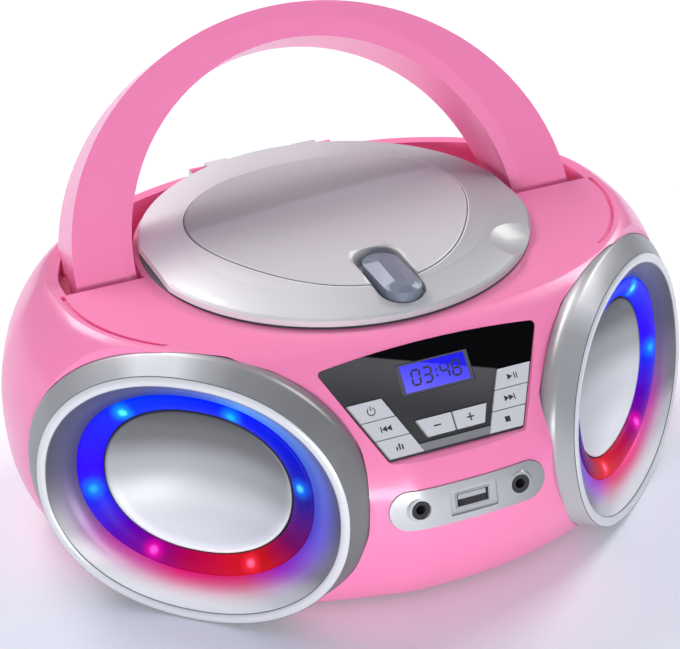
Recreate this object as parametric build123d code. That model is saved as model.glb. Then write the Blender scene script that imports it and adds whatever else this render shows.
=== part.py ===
from build123d import *

import math
import os
from functools import lru_cache

# A portable radio with a disc player in its top, built from its separate pieces.
# Lengths are in millimetres. X runs to the viewer's right, Y to the back and Z up.
# While the pieces are built, the disc's axis is at X = Y = 0 and the ground is at Z = 0.
# They are written with the origin moved to the middle of the whole part's footprint.

# Cabinet shells
wall = 2.4
cabinet_bottom = 3.0
cabinet_top = 101.2
rear_exponent = 2.15
# Each station of the hull: height, half width, reach to the front, reach to the back,
# and how square the front half of the outline is there.
hull_stations = [
    (cabinet_bottom, 113.0, 98.0, 77.0, 2.0),
    (6.0, 119.5, 105.0, 82.0, 2.0),
    (14.0, 127.0, 113.0, 87.0, 1.95),
    (28.0, 131.8, 119.3, 90.5, 1.9),
    (44.0, 133.4, 121.6, 91.5, 1.9),
    (58.0, 133.2, 119.2, 91.2, 1.9),
    (70.0, 131.2, 111.4, 89.8, 1.95),
    (82.0, 127.0, 101.2, 86.8, 2.1),
    (91.0, 121.8, 92.8, 83.2, 2.2),
    (97.0, 117.2, 87.0, 79.6, 2.3),
    (100.0, 114.0, 82.8, 77.0, 2.35),
    (cabinet_top, 112.0, 79.0, 75.4, 2.35),
]
part_line_y = -1.4
deck_corner_radius = 63.0
deck_corner_x = 47.0
deck_corner_y = -5.0
deck_seam_end_y = -53.0
deck_groove_width = 1.6
deck_groove_depth = 1.3
base_plate_thickness = 2.4
base_plate_recess = 0.4
panel_gap = 0.15

# Lid, disc well and their hinge
lid_radius = 75.0
lid_flat_x = 73.0
lid_arm_rise = 0.6
lid_bottom = 102.2
lid_edge_top = 104.9
lid_ring_top = 108.2
lid_hollow_radius = 61.0
lid_shell = 2.0
window_radius = 53.4
window_depth = 1.6
window_crown = 1.2
window_stand = 0.25
deck_hole_clearance = 0.2
well_flange_radius = 74.7
well_radius = 62.0
well_wall = 2.0
well_floor_top = 89.6
well_floor_thickness = 2.0
well_ledge_inner = 72.0
well_ledge_outer = 78.0
well_ledge_thickness = 2.0
hinge_y = 77.0
hinge_z = 99.6
hinge_pin_radius = 1.25
hinge_knuckle_radius = 2.2
running_gap = 0.05
hinge_half_width = 30.5
lid_knuckle_start = 14.2
lid_knuckle_end = 24.0
knuckle_gap = 0.4
hinge_pocket_floor = 96.5
hinge_pocket_front = 73.0
scoop_azimuth = -38.0
scoop_distance = 82.0
scoop_radius = 44.0
scoop_height = 146.4

# Open button, its catch and the lid's hook
button_x = 0.6
button_y = -53.8
button_width = 14.3
button_length = 33.0
button_top = 109.6
button_crown = 2.2
button_travel = 1.6
recess_width = 18.2
recess_length = 39.0
recess_y = -51.5
recess_floor = 103.5
recess_wall = 1.6
stem_half_width = 2.5
stem_front = -68.0
stem_back = -63.9
stem_gap = 0.3
ramp_foot_y = -66.8
ramp_foot_z = 95.0
catch_post_front = -72.5
tray_floor = 93.6
tray_thickness = 1.6
tray_half_width = 10.6
tray_front = -74.6
hook_x = 6.0
hook_width = 4.0
hook_front = -69.4
hook_back = -67.6
hook_bottom = 95.6
barb_front = -71.0
barb_height = 1.5
slot_half_width = 9.2
slot_front = -71.8
slot_back = -63.0
catch_top = 98.5
catch_lip = 1.1
catch_half_width = 8.6
catch_front = -74.2
catch_edge = -69.8
catch_gap = 0.25

# Handle
handle_lean = 31.4
handle_base_y = 2.6
handle_base_z = 98.9
handle_outer_half_width = 102.0
handle_outer_height = 91.2
handle_inner_half_width = 78.3
handle_inner_height = 77.9
handle_depth = 24.5
handle_bevel_side = 4.5
handle_bevel_top = 7.5
handle_bevel_depth = 1.2
pivot_in = 6.0
pivot_down = 4.0
lug_radius = 6.0
lug_depth = 11.5
heel_rise = 8.0
handle_pin_radius = 2.5
channel_floor = 80.0
channel_wall = 2.0
channel_inner_radius = 77.0
rim_inner_half_width = 107.5
rim_inner_reach = 70.5
rim_clearance = 0.5
rim_thickening = 1.5
rim_thickening_z = 95.0

# Speakers, one each side, on oval bezels that face outwards and a little up
speaker_x = 89.5
speaker_y = -73.5
speaker_z = 51.9
speaker_turn = 43.1
speaker_tilt = 6.95
oval_exponent = 2.15
lip_a = 59.8
lip_b = 45.2
bezel_a = 66.6
bezel_b = 50.4
bezel_slope_depth = 6.6
bezel_flange_end = 12.0
lip_width = 2.6
ring_outer_a = 46.4
ring_outer_b = 35.1
ring_outer_depth = 5.2
ring_inner_a = 37.3
ring_inner_b = 28.2
ring_inner_depth = 7.9
ring_back_depth = 9.9
ring_seat_lip = 1.6
light_board_thickness = 1.2
light_count = 6
light_lean = 10.0
light_radius = 1.6
light_height = 1.1
surround_lip = 1.7
surround_thickness = 1.2
cone_rim_depth = 9.3
cone_depth = 13.0
cone_wall = 0.8
cone_shares = (1.0, 0.8, 0.6, 0.4, 0.2)
frame_wall = 1.4
frame_neck_depth = 17.0
frame_back_depth = 30.0
frame_back_radius = 24.0
frame_flange_grow = 10.0
magnet_radius = 22.0
magnet_length = 11.0

# Display panel on the front slope
display_y = -97.3
display_z = 80.95
display_lean = 41.3
panel_top = 18.6
panel_bottom = -18.1
panel_top_half = 42.9
panel_bottom_half = 26.2
panel_arch = 2.6
panel_thickness = 1.6
panel_ledge = 2.0
panel_ledge_thickness = 2.0
recess_rise = 6.0
recess_spread = 4.0
key_height = 7.0
key_width = 13.0
key_edge_gap = 0.7
key_row_top = 4.3
key_row_pitch = 7.3
key_stand = 1.1
key_depth = 0.7
key_stem_depth = 2.6
key_stem_radius = 1.8
key_gap = 0.2
volume_x = 1.2
volume_top = -6.4
volume_height = 6.6
volume_top_half = 13.7
volume_bottom_half = 11.0
volume_split = 0.35
trim_height = 2.7
lcd_width = 28.2
lcd_height = 11.4
lcd_y = 8.8
lcd_thickness = 2.8
lcd_sink = 0.35
key_board_margin = 0.6
key_board_thickness = 1.4

# Socket panel on the front
socket_z = 51.7
socket_half_length = 30.2
socket_half_height = 7.4
socket_tilt = 9.7
socket_plate_stand = 0.7
socket_plate_sink = 1.2
jack_x = 19.4
jack_bore_radius = 1.8
jack_barrel_radius = 3.4
jack_ring_radius = 5.6
jack_ring_height = 1.1
jack_length = 14.0
usb_x = 0.8
usb_recess_width = 18.4
usb_recess_height = 9.6
usb_recess_depth = 1.0
usb_width = 13.2
usb_height = 5.9
usb_length = 14.0
usb_wall = 0.5
usb_tongue_height = 1.8
usb_sink = 0.9
socket_board_thickness = 1.6
socket_board_start = 8.0
socket_board_depth = 20.0

# Disc drive under the well
chassis_top = 78.0
chassis_thickness = 2.0
chassis_left = -36.0
chassis_right = 68.0
chassis_front = -42.0
chassis_back = 27.0
post_radius = 3.0
post_places = ((-28.0, -20.0), (-28.0, 20.0), (52.0, -29.0), (55.0, 23.8))
platter_radius = 15.0
platter_bottom = 91.4
platter_thickness = 1.6
hub_radius = 7.4
hub_height = 4.4
spindle_radius = 1.5
spindle_bush_radius = 4.0
motor_radius = 12.0
motor_height = 9.0
sled_start = 19.6
sled_travel = 30.0
sled_length = 14.0
sled_half_width = 20.0
sled_bottom = 79.0
sled_height = 6.2
lens_radius = 3.6
lens_top = 90.4
lens_slot_half = 6.5
rail_radius = 1.5
rail_y = 17.0
rail_z = 82.0
rail_block = 3.0
gear_module = 1.0
gear_teeth = 14
pinion_teeth = 9
gear_height = 3.0
gear_bottom = 79.2
tooth_share = 0.4
tooth_addendum = 0.8
rack_bar = 2.0
gear_x = 30.0
gear_pin_radius = 1.0
sled_motor_radius = 8.0
sled_motor_height = 14.0

# Battery bay, base, feet and power parts
bay_half_x = 53.0
bay_front = 5.0
bay_back = 59.0
bay_top = 34.0
bay_wall = 1.8
door_edge = 2.0
door_gap = 0.3
door_thickness = 2.0
grip_count = 5
grip_start = 9.0
grip_pitch = 1.4
grip_width = 0.6
grip_depth = 0.5
grip_half = 14.0
contact_thickness = 0.5
foot_radius = 6.0
foot_places = ((-70.0, -58.0), (70.0, -58.0), (-89.5, 30.0), (89.5, 30.0))
board_z = 38.0
board_thickness = 1.6
board_half_x = 62.0
board_front = 4.0
board_back = 58.0
board_post_inset = 4.0
board_heat_sink = (-20.0, 20.0, 14.0, 20.0)
board_heat_sink_height = 16.0
board_chip = (0.0, 16.0, 34.0, 48.0)
board_chip_height = 2.0
# Each can on the board: x, y, radius and height.
board_cans = (
    (-44.0, 40.0, 6.0, 16.0),
    (-30.0, 42.0, 5.0, 12.0),
    (34.0, 44.0, 5.0, 12.0),
    (46.0, 24.0, 4.0, 9.0),
)
transformer_x = -95.0
transformer_y = 24.0
transformer_half = (8.5, 13.5)
transformer_height = 30.0
winding_out = 3.0
winding_in = 5.5
inlet_x = -60.0
inlet_z = 48.0
inlet_face_y = 80.0
inlet_width = 25.0
inlet_height = 17.0
inlet_depth = 20.0
inlet_pin_x = 4.3
inlet_pin_radius = 1.2
inlet_hole_radius = 3.4
inlet_hole_depth = 12.1
screw_places = ((-40.0, -86.0), (40.0, -86.0), (-103.0, 2.0), (103.0, 2.0))
screw_radius = 1.4
screw_head_radius = 2.8
screw_head_height = 1.4
screw_length = 9.0
boss_radius = 4.0
boss_top = 16.0

# Telescopic antenna on the ledge behind the rim
ledge_y = 79.6
ledge_z = 62.0
ledge_start_x = -74.0
ledge_end_x = 112.0
antenna_x = 58.0
antenna_y = 84.6
antenna_z = 68.4
antenna_radii = (3.4, 2.6, 1.8)
antenna_start = 52.0
antenna_end = -54.0
antenna_step = 4.0
antenna_tip_radius = 2.2
knuckle_half = 4.0
knuckle_disc = 1.4
knuckle_slot = 1.65
knuckle_stem_radius = 1.5
knuckle_head_radius = 3.0
knuckle_head_thickness = 1.2
elbow_pin_radius = 1.2
elbow_tongue = 1.5
elbow_radius = 2.4

pieces = {}


def add(name, shape):
    """Keep a piece under its name."""
    pieces[name] = shape


def box(x0, x1, y0, y1, z0, z1):
    """A block between two corners."""
    return Pos((x0 + x1) / 2, (y0 + y1) / 2, (z0 + z1) / 2) * Box(x1 - x0, y1 - y0, z1 - z0)


def rod_x(x0, x1, y, z, radius):
    """A round bar along X."""
    return Pos((x0 + x1) / 2, y, z) * Rot(0, 90, 0) * Cylinder(radius, x1 - x0)


def rod_y(x, z, y0, y1, radius):
    """A round bar along Y."""
    return Pos(x, (y0 + y1) / 2, z) * Rot(90, 0, 0) * Cylinder(radius, y1 - y0)


def rod_z(x, y, z0, z1, radius):
    """A round bar along Z."""
    return Pos(x, y, (z0 + z1) / 2) * Cylinder(radius, z1 - z0)


def quarter(a, b, exponent):
    """Points of a rounded quarter outline from (a, 0) to (0, b)."""
    count = 8
    points = []
    for i in range(count + 1):
        angle = math.pi / 2 * i / count
        points.append((a * math.cos(angle) ** (2 / exponent), b * math.sin(angle) ** (2 / exponent)))
    points[0] = (a, 0)
    points[-1] = (0, b)
    return points


def outline(z, half_width, front, rear, exponent):
    """A closed plan outline of the hull at height z."""
    back = quarter(half_width, rear, rear_exponent)
    fore = quarter(half_width, front, exponent)
    right_back = Spline(*back, tangents=[(0, 1), (-1, 0)])
    left_back = Spline(*[(-x, y) for x, y in reversed(back)], tangents=[(-1, 0), (0, -1)])
    left_front = Spline(*[(-x, -y) for x, y in fore], tangents=[(0, -1), (1, 0)])
    right_front = Spline(*[(x, -y) for x, y in reversed(fore)], tangents=[(1, 0), (0, 1)])
    wire = Wire([right_back, left_back, left_front, right_front])
    return Pos(0, 0, z) * Face(wire)


@lru_cache(maxsize=None)
def hull(inset=0.0):
    """The cabinet's outer form, or the same form drawn in by inset, open at the bottom when inset."""
    middle = (cabinet_bottom + cabinet_top) / 2
    sections = []
    for z, half_width, front, rear, exponent in hull_stations:
        drop = inset * max(0.0, z - middle) / (cabinet_top - middle)
        sections.append(outline(z - drop, half_width - inset, front - inset, rear - inset, exponent))
    return loft(sections)


def oval_point(a, b, turn):
    """A point of a rounded oval at a turn in radians."""
    across = math.cos(turn)
    up = math.sin(turn)
    x = math.copysign(a * abs(across) ** (2 / oval_exponent), across)
    y = math.copysign(b * abs(up) ** (2 / oval_exponent), up)
    return x, y


def superoval(a, b, exponent=oval_exponent):
    """A closed oval face centred on the local origin."""
    points = quarter(a, b, exponent)
    first = Spline(*points, tangents=[(0, 1), (-1, 0)])
    second = Spline(*[(-x, y) for x, y in reversed(points)], tangents=[(-1, 0), (0, -1)])
    third = Spline(*[(-x, -y) for x, y in points], tangents=[(0, -1), (1, 0)])
    fourth = Spline(*[(x, -y) for x, y in reversed(points)], tangents=[(1, 0), (0, 1)])
    return Face(Wire([first, second, third, fourth]))


def oval_frustum(a0, b0, d0, a1, b1, d1):
    """A solid between two ovals, the first at local depth d0 and the second at d1."""
    return loft([Pos(0, 0, d0) * superoval(a0, b0), Pos(0, 0, d1) * superoval(a1, b1)], ruled=True)


def oval_prism(a, b, d0, d1):
    """A straight oval solid from local depth d0 to d1."""
    return Pos(0, 0, d0) * extrude(superoval(a, b), d1 - d0, dir=(0, 0, 1))


def speaker_plane(side):
    """The plane of one bezel's lip, with its Z outwards. side is 1 on the right and -1 on the left."""
    turn = math.radians(speaker_turn)
    tilt = math.radians(speaker_tilt)
    normal = (side * math.sin(turn) * math.cos(tilt), -math.cos(turn) * math.cos(tilt), math.sin(tilt))
    along = (side * math.cos(turn), math.sin(turn), 0)
    return Plane(origin=(side * speaker_x, speaker_y, speaker_z), x_dir=along, z_dir=normal)


speaker_sides = {"left": -1, "right": 1}
hull_solid = hull()
hull_inner = hull(wall)


def cut_facets(body, depth):
    """Cut the hull flat behind each bezel, depth below the lip."""
    size = 400.0
    for side in speaker_sides.values():
        body = body - speaker_plane(side) * Pos(0, 0, size / 2 - depth) * Box(size, size, size)
    return body


outer_form = cut_facets(hull_solid, bezel_slope_depth)
inner_form = cut_facets(hull_inner, bezel_slope_depth + wall)
open_bottom = extrude(
    outline(
        cabinet_bottom - 1,
        hull_stations[0][1] - wall,
        hull_stations[0][2] - wall,
        hull_stations[0][3] - wall,
        hull_stations[0][4],
    ),
    2.0,
)
shell = outer_form - inner_form - open_bottom


def front_zone(shrink=0.0):
    """The plan area of the front cabinet as a tall block, drawn in by shrink along its curved sides."""
    height = cabinet_top + 20
    reach = 200.0
    curve = deck_corner_radius - shrink
    middle = Pos(0, (part_line_y - reach) / 2) * Rectangle(2 * deck_corner_x, part_line_y + reach)
    corners = [Pos(side * deck_corner_x, deck_corner_y) * Circle(curve) for side in (-1, 1)]
    behind = Pos(0, part_line_y + reach / 2) * Rectangle(2 * reach, reach)
    deck = middle + corners[0] + corners[1] - behind
    nose = Pos(0, (deck_seam_end_y - reach) / 2) * Rectangle(2 * reach, deck_seam_end_y + reach)
    return Pos(0, 0, -10) * extrude(deck + nose, height)


def speaker_holes(body):
    """Cut both oval bezel holes."""
    for side in speaker_sides.values():
        hole = oval_prism(bezel_a + panel_gap, bezel_b + panel_gap, -bezel_flange_end - 0.6, 40.0)
        body = body - speaker_plane(side) * hole
    return body


def display_plane():
    """The plane of the display panel's face, with its Y up the slope."""
    lean = math.radians(display_lean)
    return Plane(
        origin=(0, display_y, display_z), x_dir=(1, 0, 0), z_dir=(0, -math.cos(lean), math.sin(lean))
    )


def socket_plane(x=0.0):
    """The plane of the socket panel's face at its middle, or at x along it."""
    tilt = math.radians(socket_tilt)
    return Plane(
        origin=(x, socket_face_y(x), socket_z),
        x_dir=(1, 0, 0),
        z_dir=(0, -math.cos(tilt), math.sin(tilt)),
    )


def hull_front_y(x, z):
    """Where the hull's front surface is at (x, z), between its stations."""
    for low, high in zip(hull_stations, hull_stations[1:]):
        if low[0] <= z <= high[0]:
            share = (z - low[0]) / (high[0] - low[0])
            half_width, front, exponent = (
                low[i] + (high[i] - low[i]) * share for i in (1, 2, 4)
            )
            return -front * (1 - (abs(x) / half_width) ** exponent) ** (1 / exponent)
    raise ValueError("height outside the hull")


def socket_face_y(x):
    """The front face of the socket panel at x."""
    return hull_front_y(x, socket_z) - socket_plate_stand


def panel_half_width(t):
    """Half the display panel's width at height t up its slope."""
    share = (t - panel_bottom) / (panel_top - panel_bottom)
    return panel_bottom_half + (panel_top_half - panel_bottom_half) * share


def panel_face(grow=0.0, grow_bottom=None):
    """The display panel's outline, with an arched top, grown by a margin."""
    low = panel_bottom - (grow if grow_bottom is None else grow_bottom)
    high = panel_top + grow
    low_half = panel_half_width(low) + grow
    high_half = panel_half_width(high) + grow
    edges = [
        Line((low_half, low), (high_half, high)),
        ThreePointArc((high_half, high), (0, high + panel_arch), (-high_half, high)),
        Line((-high_half, high), (-low_half, low)),
        Line((-low_half, low), (low_half, low)),
    ]
    face = Face(Wire(edges))
    return fillet(face.vertices(), 1.6 + max(0.0, grow) / 2)


def on_display(shape):
    """Place a shape built flat on the display panel's plane."""
    return display_plane() * shape


# Front cabinet: the front, the flat top and the sloped display face
front_block = front_zone()
for side in (-1, 1):
    low_side = sorted((side * 100.0, side * 200.0))
    front_block = front_block - box(*low_side, deck_seam_end_y, 0, -10, 20)
frame_block = on_display(
    Pos(0, 0, -panel_thickness - panel_ledge_thickness)
    * extrude(panel_face(recess_spread + wall), panel_ledge_thickness + panel_thickness + 12)
)
display_frame = frame_block & outer_form
deck_ledge = Pos(0, 0, cabinet_top - wall - well_ledge_thickness / 2) * (
    Cylinder(well_ledge_outer, well_ledge_thickness) - Cylinder(well_ledge_inner, well_ledge_thickness)
)
well_hole = rod_z(0, 0, cabinet_top - wall, cabinet_top + 20, well_flange_radius + deck_hole_clearance)
groove_band = front_zone() - front_zone(deck_groove_width)
groove_band = groove_band & box(-200, 200, deck_seam_end_y, part_line_y, 60, 120)
groove = groove_band & (outer_form - hull(deck_groove_depth))
front_cabinet = (shell + display_frame) & front_block
front_cabinet = front_cabinet + (deck_ledge & box(-200, 200, -200, part_line_y, 0, 200))
step_wall = box(
    -deck_corner_x - deck_corner_radius + wall,
    deck_corner_x + deck_corner_radius - wall,
    part_line_y - wall,
    part_line_y,
    channel_floor - channel_wall,
    cabinet_top - wall,
)
step_wall = step_wall - rod_z(0, 0, 60, 120, channel_inner_radius - channel_wall)
front_cabinet = front_cabinet + (step_wall & front_block)
front_cabinet = front_cabinet - well_hole - groove
panel_pocket = on_display(
    loft(
        [
            panel_face(panel_gap),
            Pos(0, 0, recess_rise) * panel_face(recess_spread * 0.8, recess_spread * 1.5),
        ],
        ruled=True,
    )
)
panel_seat = on_display(Pos(0, 0, -panel_thickness) * extrude(panel_face(panel_gap), panel_thickness))
panel_opening = on_display(
    Pos(0, 0, -panel_thickness - panel_ledge_thickness - 6)
    * extrude(panel_face(-panel_ledge), panel_ledge_thickness + 8)
)
front_cabinet = front_cabinet - panel_pocket - panel_seat - panel_opening
front_cabinet = speaker_holes(front_cabinet)


def stadium(half_length, half_height):
    """A long flat oval with round ends."""
    return SlotOverall(2 * half_length, 2 * half_height)


socket_prism = socket_plane() * Pos(0, 0, -30) * extrude(stadium(socket_half_length, socket_half_height), 50)
socket_pocket_prism = (
    socket_plane()
    * Pos(0, 0, -30)
    * extrude(stadium(socket_half_length + panel_gap, socket_half_height + panel_gap), 50)
)
sink_form = hull(socket_plate_sink)
socket_skin = hull(-socket_plate_stand) - sink_form
front_half = box(-200, 200, -200, -60, 0, 120)
socket_pocket = (outer_form - sink_form) & socket_pocket_prism & front_half
front_cabinet = front_cabinet - socket_pocket


def jack_bore(x, radius, start, end):
    """A round bar on a jack's axis, from depth start to end below the panel's face."""
    return socket_plane(x) * Pos(0, 0, -(start + end) / 2) * Cylinder(radius, end - start)


def usb_block(width, height, start, end):
    """A block on the data socket's axis, from depth start to end below the panel's face."""
    return socket_plane() * Pos(usb_x, 0, -(start + end) / 2) * Box(width, height, end - start)


for x in (-jack_x, jack_x):
    front_cabinet = front_cabinet - jack_bore(x, jack_barrel_radius + panel_gap, -10, 20)
front_cabinet = front_cabinet - usb_block(usb_width + 2 * panel_gap, usb_height + 2 * panel_gap, -10, 20)
add("front_cabinet", front_cabinet)

# Rear cabinet: the sides, the back, the rim and the channel that the handle turns in
rear_block = box(-200, 200, -200, 200, -10, 200) - front_block
channel_floor_bottom = channel_floor - channel_wall


def rim_prism(grow, z0, z1):
    """The area inside the rim, as a block behind the part line."""
    half_width = rim_inner_half_width + grow
    reach = rim_inner_reach + grow
    face = outline(z0, half_width, reach, reach, rear_exponent)
    return extrude(face, z1 - z0) & box(-200, 200, part_line_y, 200, z0, z1)


channel_outer = rim_prism(channel_wall, channel_floor_bottom, cabinet_top)
channel_outer = channel_outer + rim_prism(channel_wall + rim_thickening, rim_thickening_z, cabinet_top)
channel_outer = channel_outer - rod_z(0, 0, 60, 120, channel_inner_radius - channel_wall)
channel_space = rim_prism(0.0, channel_floor, cabinet_top + 10)
channel_space = channel_space - rod_z(0, 0, 60, 120, channel_inner_radius)
rear_cabinet = (shell & rear_block) + (channel_outer & outer_form)
rear_cabinet = rear_cabinet + (deck_ledge & box(-200, 200, part_line_y, 200, 0, 200))
hinge_block = box(
    -hinge_half_width - wall,
    hinge_half_width + wall,
    hinge_pocket_front,
    95,
    hinge_pocket_floor - wall,
    cabinet_top,
)
rear_cabinet = rear_cabinet + (hinge_block & outer_form)
rear_cabinet = rear_cabinet - channel_space - well_hole
hinge_pocket = box(-hinge_half_width, hinge_half_width, hinge_pocket_front, 110, hinge_pocket_floor, 120)
ledge_back = box(
    ledge_start_x - wall, ledge_end_x, ledge_y - wall, 110, ledge_z - wall, cabinet_top - wall
) & outer_form
ledge_cut = box(ledge_start_x, ledge_end_x + 20, ledge_y, 120, ledge_z, 130)
rear_cabinet = rear_cabinet + ledge_back - ledge_cut - hinge_pocket
rear_cabinet = speaker_holes(rear_cabinet)
knuckle_spans = [
    (-hinge_half_width, -lid_knuckle_end - knuckle_gap),
    (-lid_knuckle_start + knuckle_gap, lid_knuckle_start - knuckle_gap),
    (lid_knuckle_end + knuckle_gap, hinge_half_width),
]
for x0, x1 in knuckle_spans:
    web = box(x0, x1, hinge_y - 1.4, hinge_y + 1.4, hinge_pocket_floor, hinge_z)
    rear_cabinet = rear_cabinet + web + rod_x(x0, x1, hinge_y, hinge_z, hinge_knuckle_radius)
rear_cabinet = rear_cabinet - rod_x(
    -hinge_half_width, hinge_half_width, hinge_y, hinge_z, hinge_pin_radius + running_gap
)
lean = math.radians(handle_lean)
pivot_y = handle_base_y + pivot_in * math.cos(lean) - pivot_down * math.sin(lean)
pivot_z = handle_base_z - pivot_in * math.sin(lean) - pivot_down * math.cos(lean)
pin_inner_x = channel_inner_radius - channel_wall - 0.2
pin_outer_x = rim_inner_half_width + channel_wall
for side in (-1, 1):
    x0, x1 = sorted((side * (pin_inner_x - 2), side * pin_outer_x))
    rear_cabinet = rear_cabinet - rod_x(x0, x1, pivot_y, pivot_z, handle_pin_radius + running_gap)
inlet_hole = box(
    inlet_x - inlet_width / 2 - panel_gap,
    inlet_x + inlet_width / 2 + panel_gap,
    60,
    120,
    inlet_z - inlet_height / 2 - panel_gap,
    inlet_z + inlet_height / 2 + panel_gap,
)
rear_cabinet = rear_cabinet - inlet_hole
add("rear_cabinet", rear_cabinet)


def racetrack(width, length, x, y, z0, z1):
    """A block with round ends, long along Y."""
    return Pos(x, y, z0) * extrude(Rot(0, 0, 90) * SlotOverall(length, width), z1 - z0)


def polygon(points):
    """A flat face through corner points."""
    return Face(Wire(Polyline(*points, close=True).edges()))


def raised(face, low, high):
    """A flat face made into a solid between two heights."""
    return Pos(0, 0, low) * extrude(face, high - low, dir=(0, 0, 1))


def side_profile(points, x0, x1):
    """A solid with its outline given as (y, z) corners, from x0 to x1."""
    plane = Plane(origin=(x0, 0, 0), x_dir=(0, 1, 0), z_dir=(1, 0, 0))
    return plane * raised(polygon(points), 0, x1 - x0)


# Base plate with the battery bay, its door and contacts
plate_bottom = cabinet_bottom + base_plate_recess
plate_top = plate_bottom + base_plate_thickness
base_slab = box(-200, 200, -200, 200, plate_bottom, plate_top)
base_plate = cut_facets(hull(wall + panel_gap) & base_slab, bezel_slope_depth + wall + panel_gap)
bay_outer = box(
    -bay_half_x - bay_wall,
    bay_half_x + bay_wall,
    bay_front - bay_wall,
    bay_back + bay_wall,
    plate_bottom,
    bay_top + bay_wall,
)
base_plate = base_plate + (bay_outer & hull(wall + panel_gap))
base_plate = base_plate - box(-bay_half_x, bay_half_x, bay_front, bay_back, plate_top, bay_top)
door_x = bay_half_x - door_edge
door_front = bay_front + door_edge
door_back = bay_back - door_edge
base_plate = base_plate - box(-door_x, door_x, door_front, door_back, 0, plate_top)
for x in (-bay_half_x + board_post_inset, bay_half_x - board_post_inset):
    for y in (bay_front + board_post_inset, board_back - board_post_inset):
        base_plate = base_plate + rod_z(x, y, bay_top + bay_wall, board_z, post_radius)
for x, y in screw_places:
    base_plate = base_plate - rod_z(x, y, 0, plate_top + 1, screw_radius + panel_gap)
    base_plate = base_plate - rod_z(x, y, 0, plate_bottom + screw_head_height, screw_head_radius + panel_gap)
base_plate = speaker_holes(base_plate)
add("base_plate", base_plate)

door = box(
    -door_x + door_gap,
    door_x - door_gap,
    door_front + door_gap,
    door_back - door_gap,
    plate_bottom,
    plate_bottom + door_thickness,
)
for step in range(grip_count):
    y = door_back - grip_start + step * grip_pitch
    door = door - box(-grip_half, grip_half, y, y + grip_width, plate_bottom - 1, plate_bottom + grip_depth)
add("battery_door", door)

row_y = [bay_front + (bay_back - bay_front) * share for share in (0.25, 0.75)]
contacts = []
for side in (-1, 1):
    for y in row_y:
        wall_x = side * bay_half_x
        x0, x1 = sorted((wall_x, wall_x - side * contact_thickness))
        plate = box(x0, x1, y - 9, y + 9, plate_top + 5, plate_top + 23)
        bump_x0, bump_x1 = sorted((x0, x0 - side * 2.0)) if side > 0 else (x1, x1 + 2.0)
        contacts.append(plate + rod_x(bump_x0, bump_x1, y, plate_top + 14, 3.0))
add("battery_contacts", Compound(contacts))

add("rubber_feet", Compound([rod_z(x, y, 0, plate_bottom, foot_radius) for x, y in foot_places]))

bosses = []
screws = []
for x, y in screw_places:
    hole = rod_z(x, y, plate_top - 1, plate_top + screw_length, screw_radius)
    if abs(x) > abs(y):
        rib = box(*sorted((x, x * 1.3)), y - 1.2, y + 1.2, plate_top, boss_top)
    else:
        rib = box(x - 1.2, x + 1.2, y * 1.4, y, plate_top, boss_top)
    boss = (rod_z(x, y, plate_top, boss_top, boss_radius) + rib) & inner_form
    bosses.append((boss - hole, x, y))
    head = rod_z(x, y, plate_bottom, plate_bottom + screw_head_height, screw_head_radius)
    slot = box(x - 2, x + 2, y - 0.3, y + 0.3, plate_bottom - 1, plate_bottom + 0.6)
    screws.append(head - slot + rod_z(x, y, plate_bottom + 1, plate_top + screw_length, screw_radius))
add("case_screws", Compound(screws))
for boss, x, y in bosses:
    name = "front_cabinet" if y < deck_seam_end_y else "rear_cabinet"
    pieces[name] = pieces[name] + boss

# Disc well
well_bottom = well_floor_top - well_floor_thickness
flange_bottom = cabinet_top - wall
well = rod_z(0, 0, well_bottom, flange_bottom, well_radius + well_wall)
well = well + rod_z(0, 0, flange_bottom, cabinet_top, well_flange_radius)
tray = box(
    -tray_half_width, tray_half_width, tray_front, -well_radius, tray_floor - tray_thickness, flange_bottom
) & rod_z(0, 0, 80, 120, well_flange_radius)
tray_space = box(
    -catch_half_width - catch_gap,
    catch_half_width + catch_gap,
    -90,
    -well_radius - well_wall,
    tray_floor,
    flange_bottom,
)
well = well + tray - tray_space
well = well - rod_z(0, 0, well_floor_top, cabinet_top + 1, well_radius)
well = well - box(-slot_half_width, slot_half_width, slot_front, slot_back, tray_floor, cabinet_top + 1)
well = well - rod_z(0, 0, 80, 95, spindle_bush_radius + 5)
slot_end = sled_start + sled_length + sled_travel - 3
well = well - box(0, slot_end, -lens_slot_half, lens_slot_half, well_bottom - 1, well_floor_top + 0.1)
well = well - box(-hinge_half_width - 0.3, hinge_half_width + 0.3, hinge_pocket_front, 90, 90, 120)
add("disc_well", well)
pieces["front_cabinet"] = pieces["front_cabinet"] - box(
    -tray_half_width - 0.4, tray_half_width + 0.4, -82, -60, 85, flange_bottom
)

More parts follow.
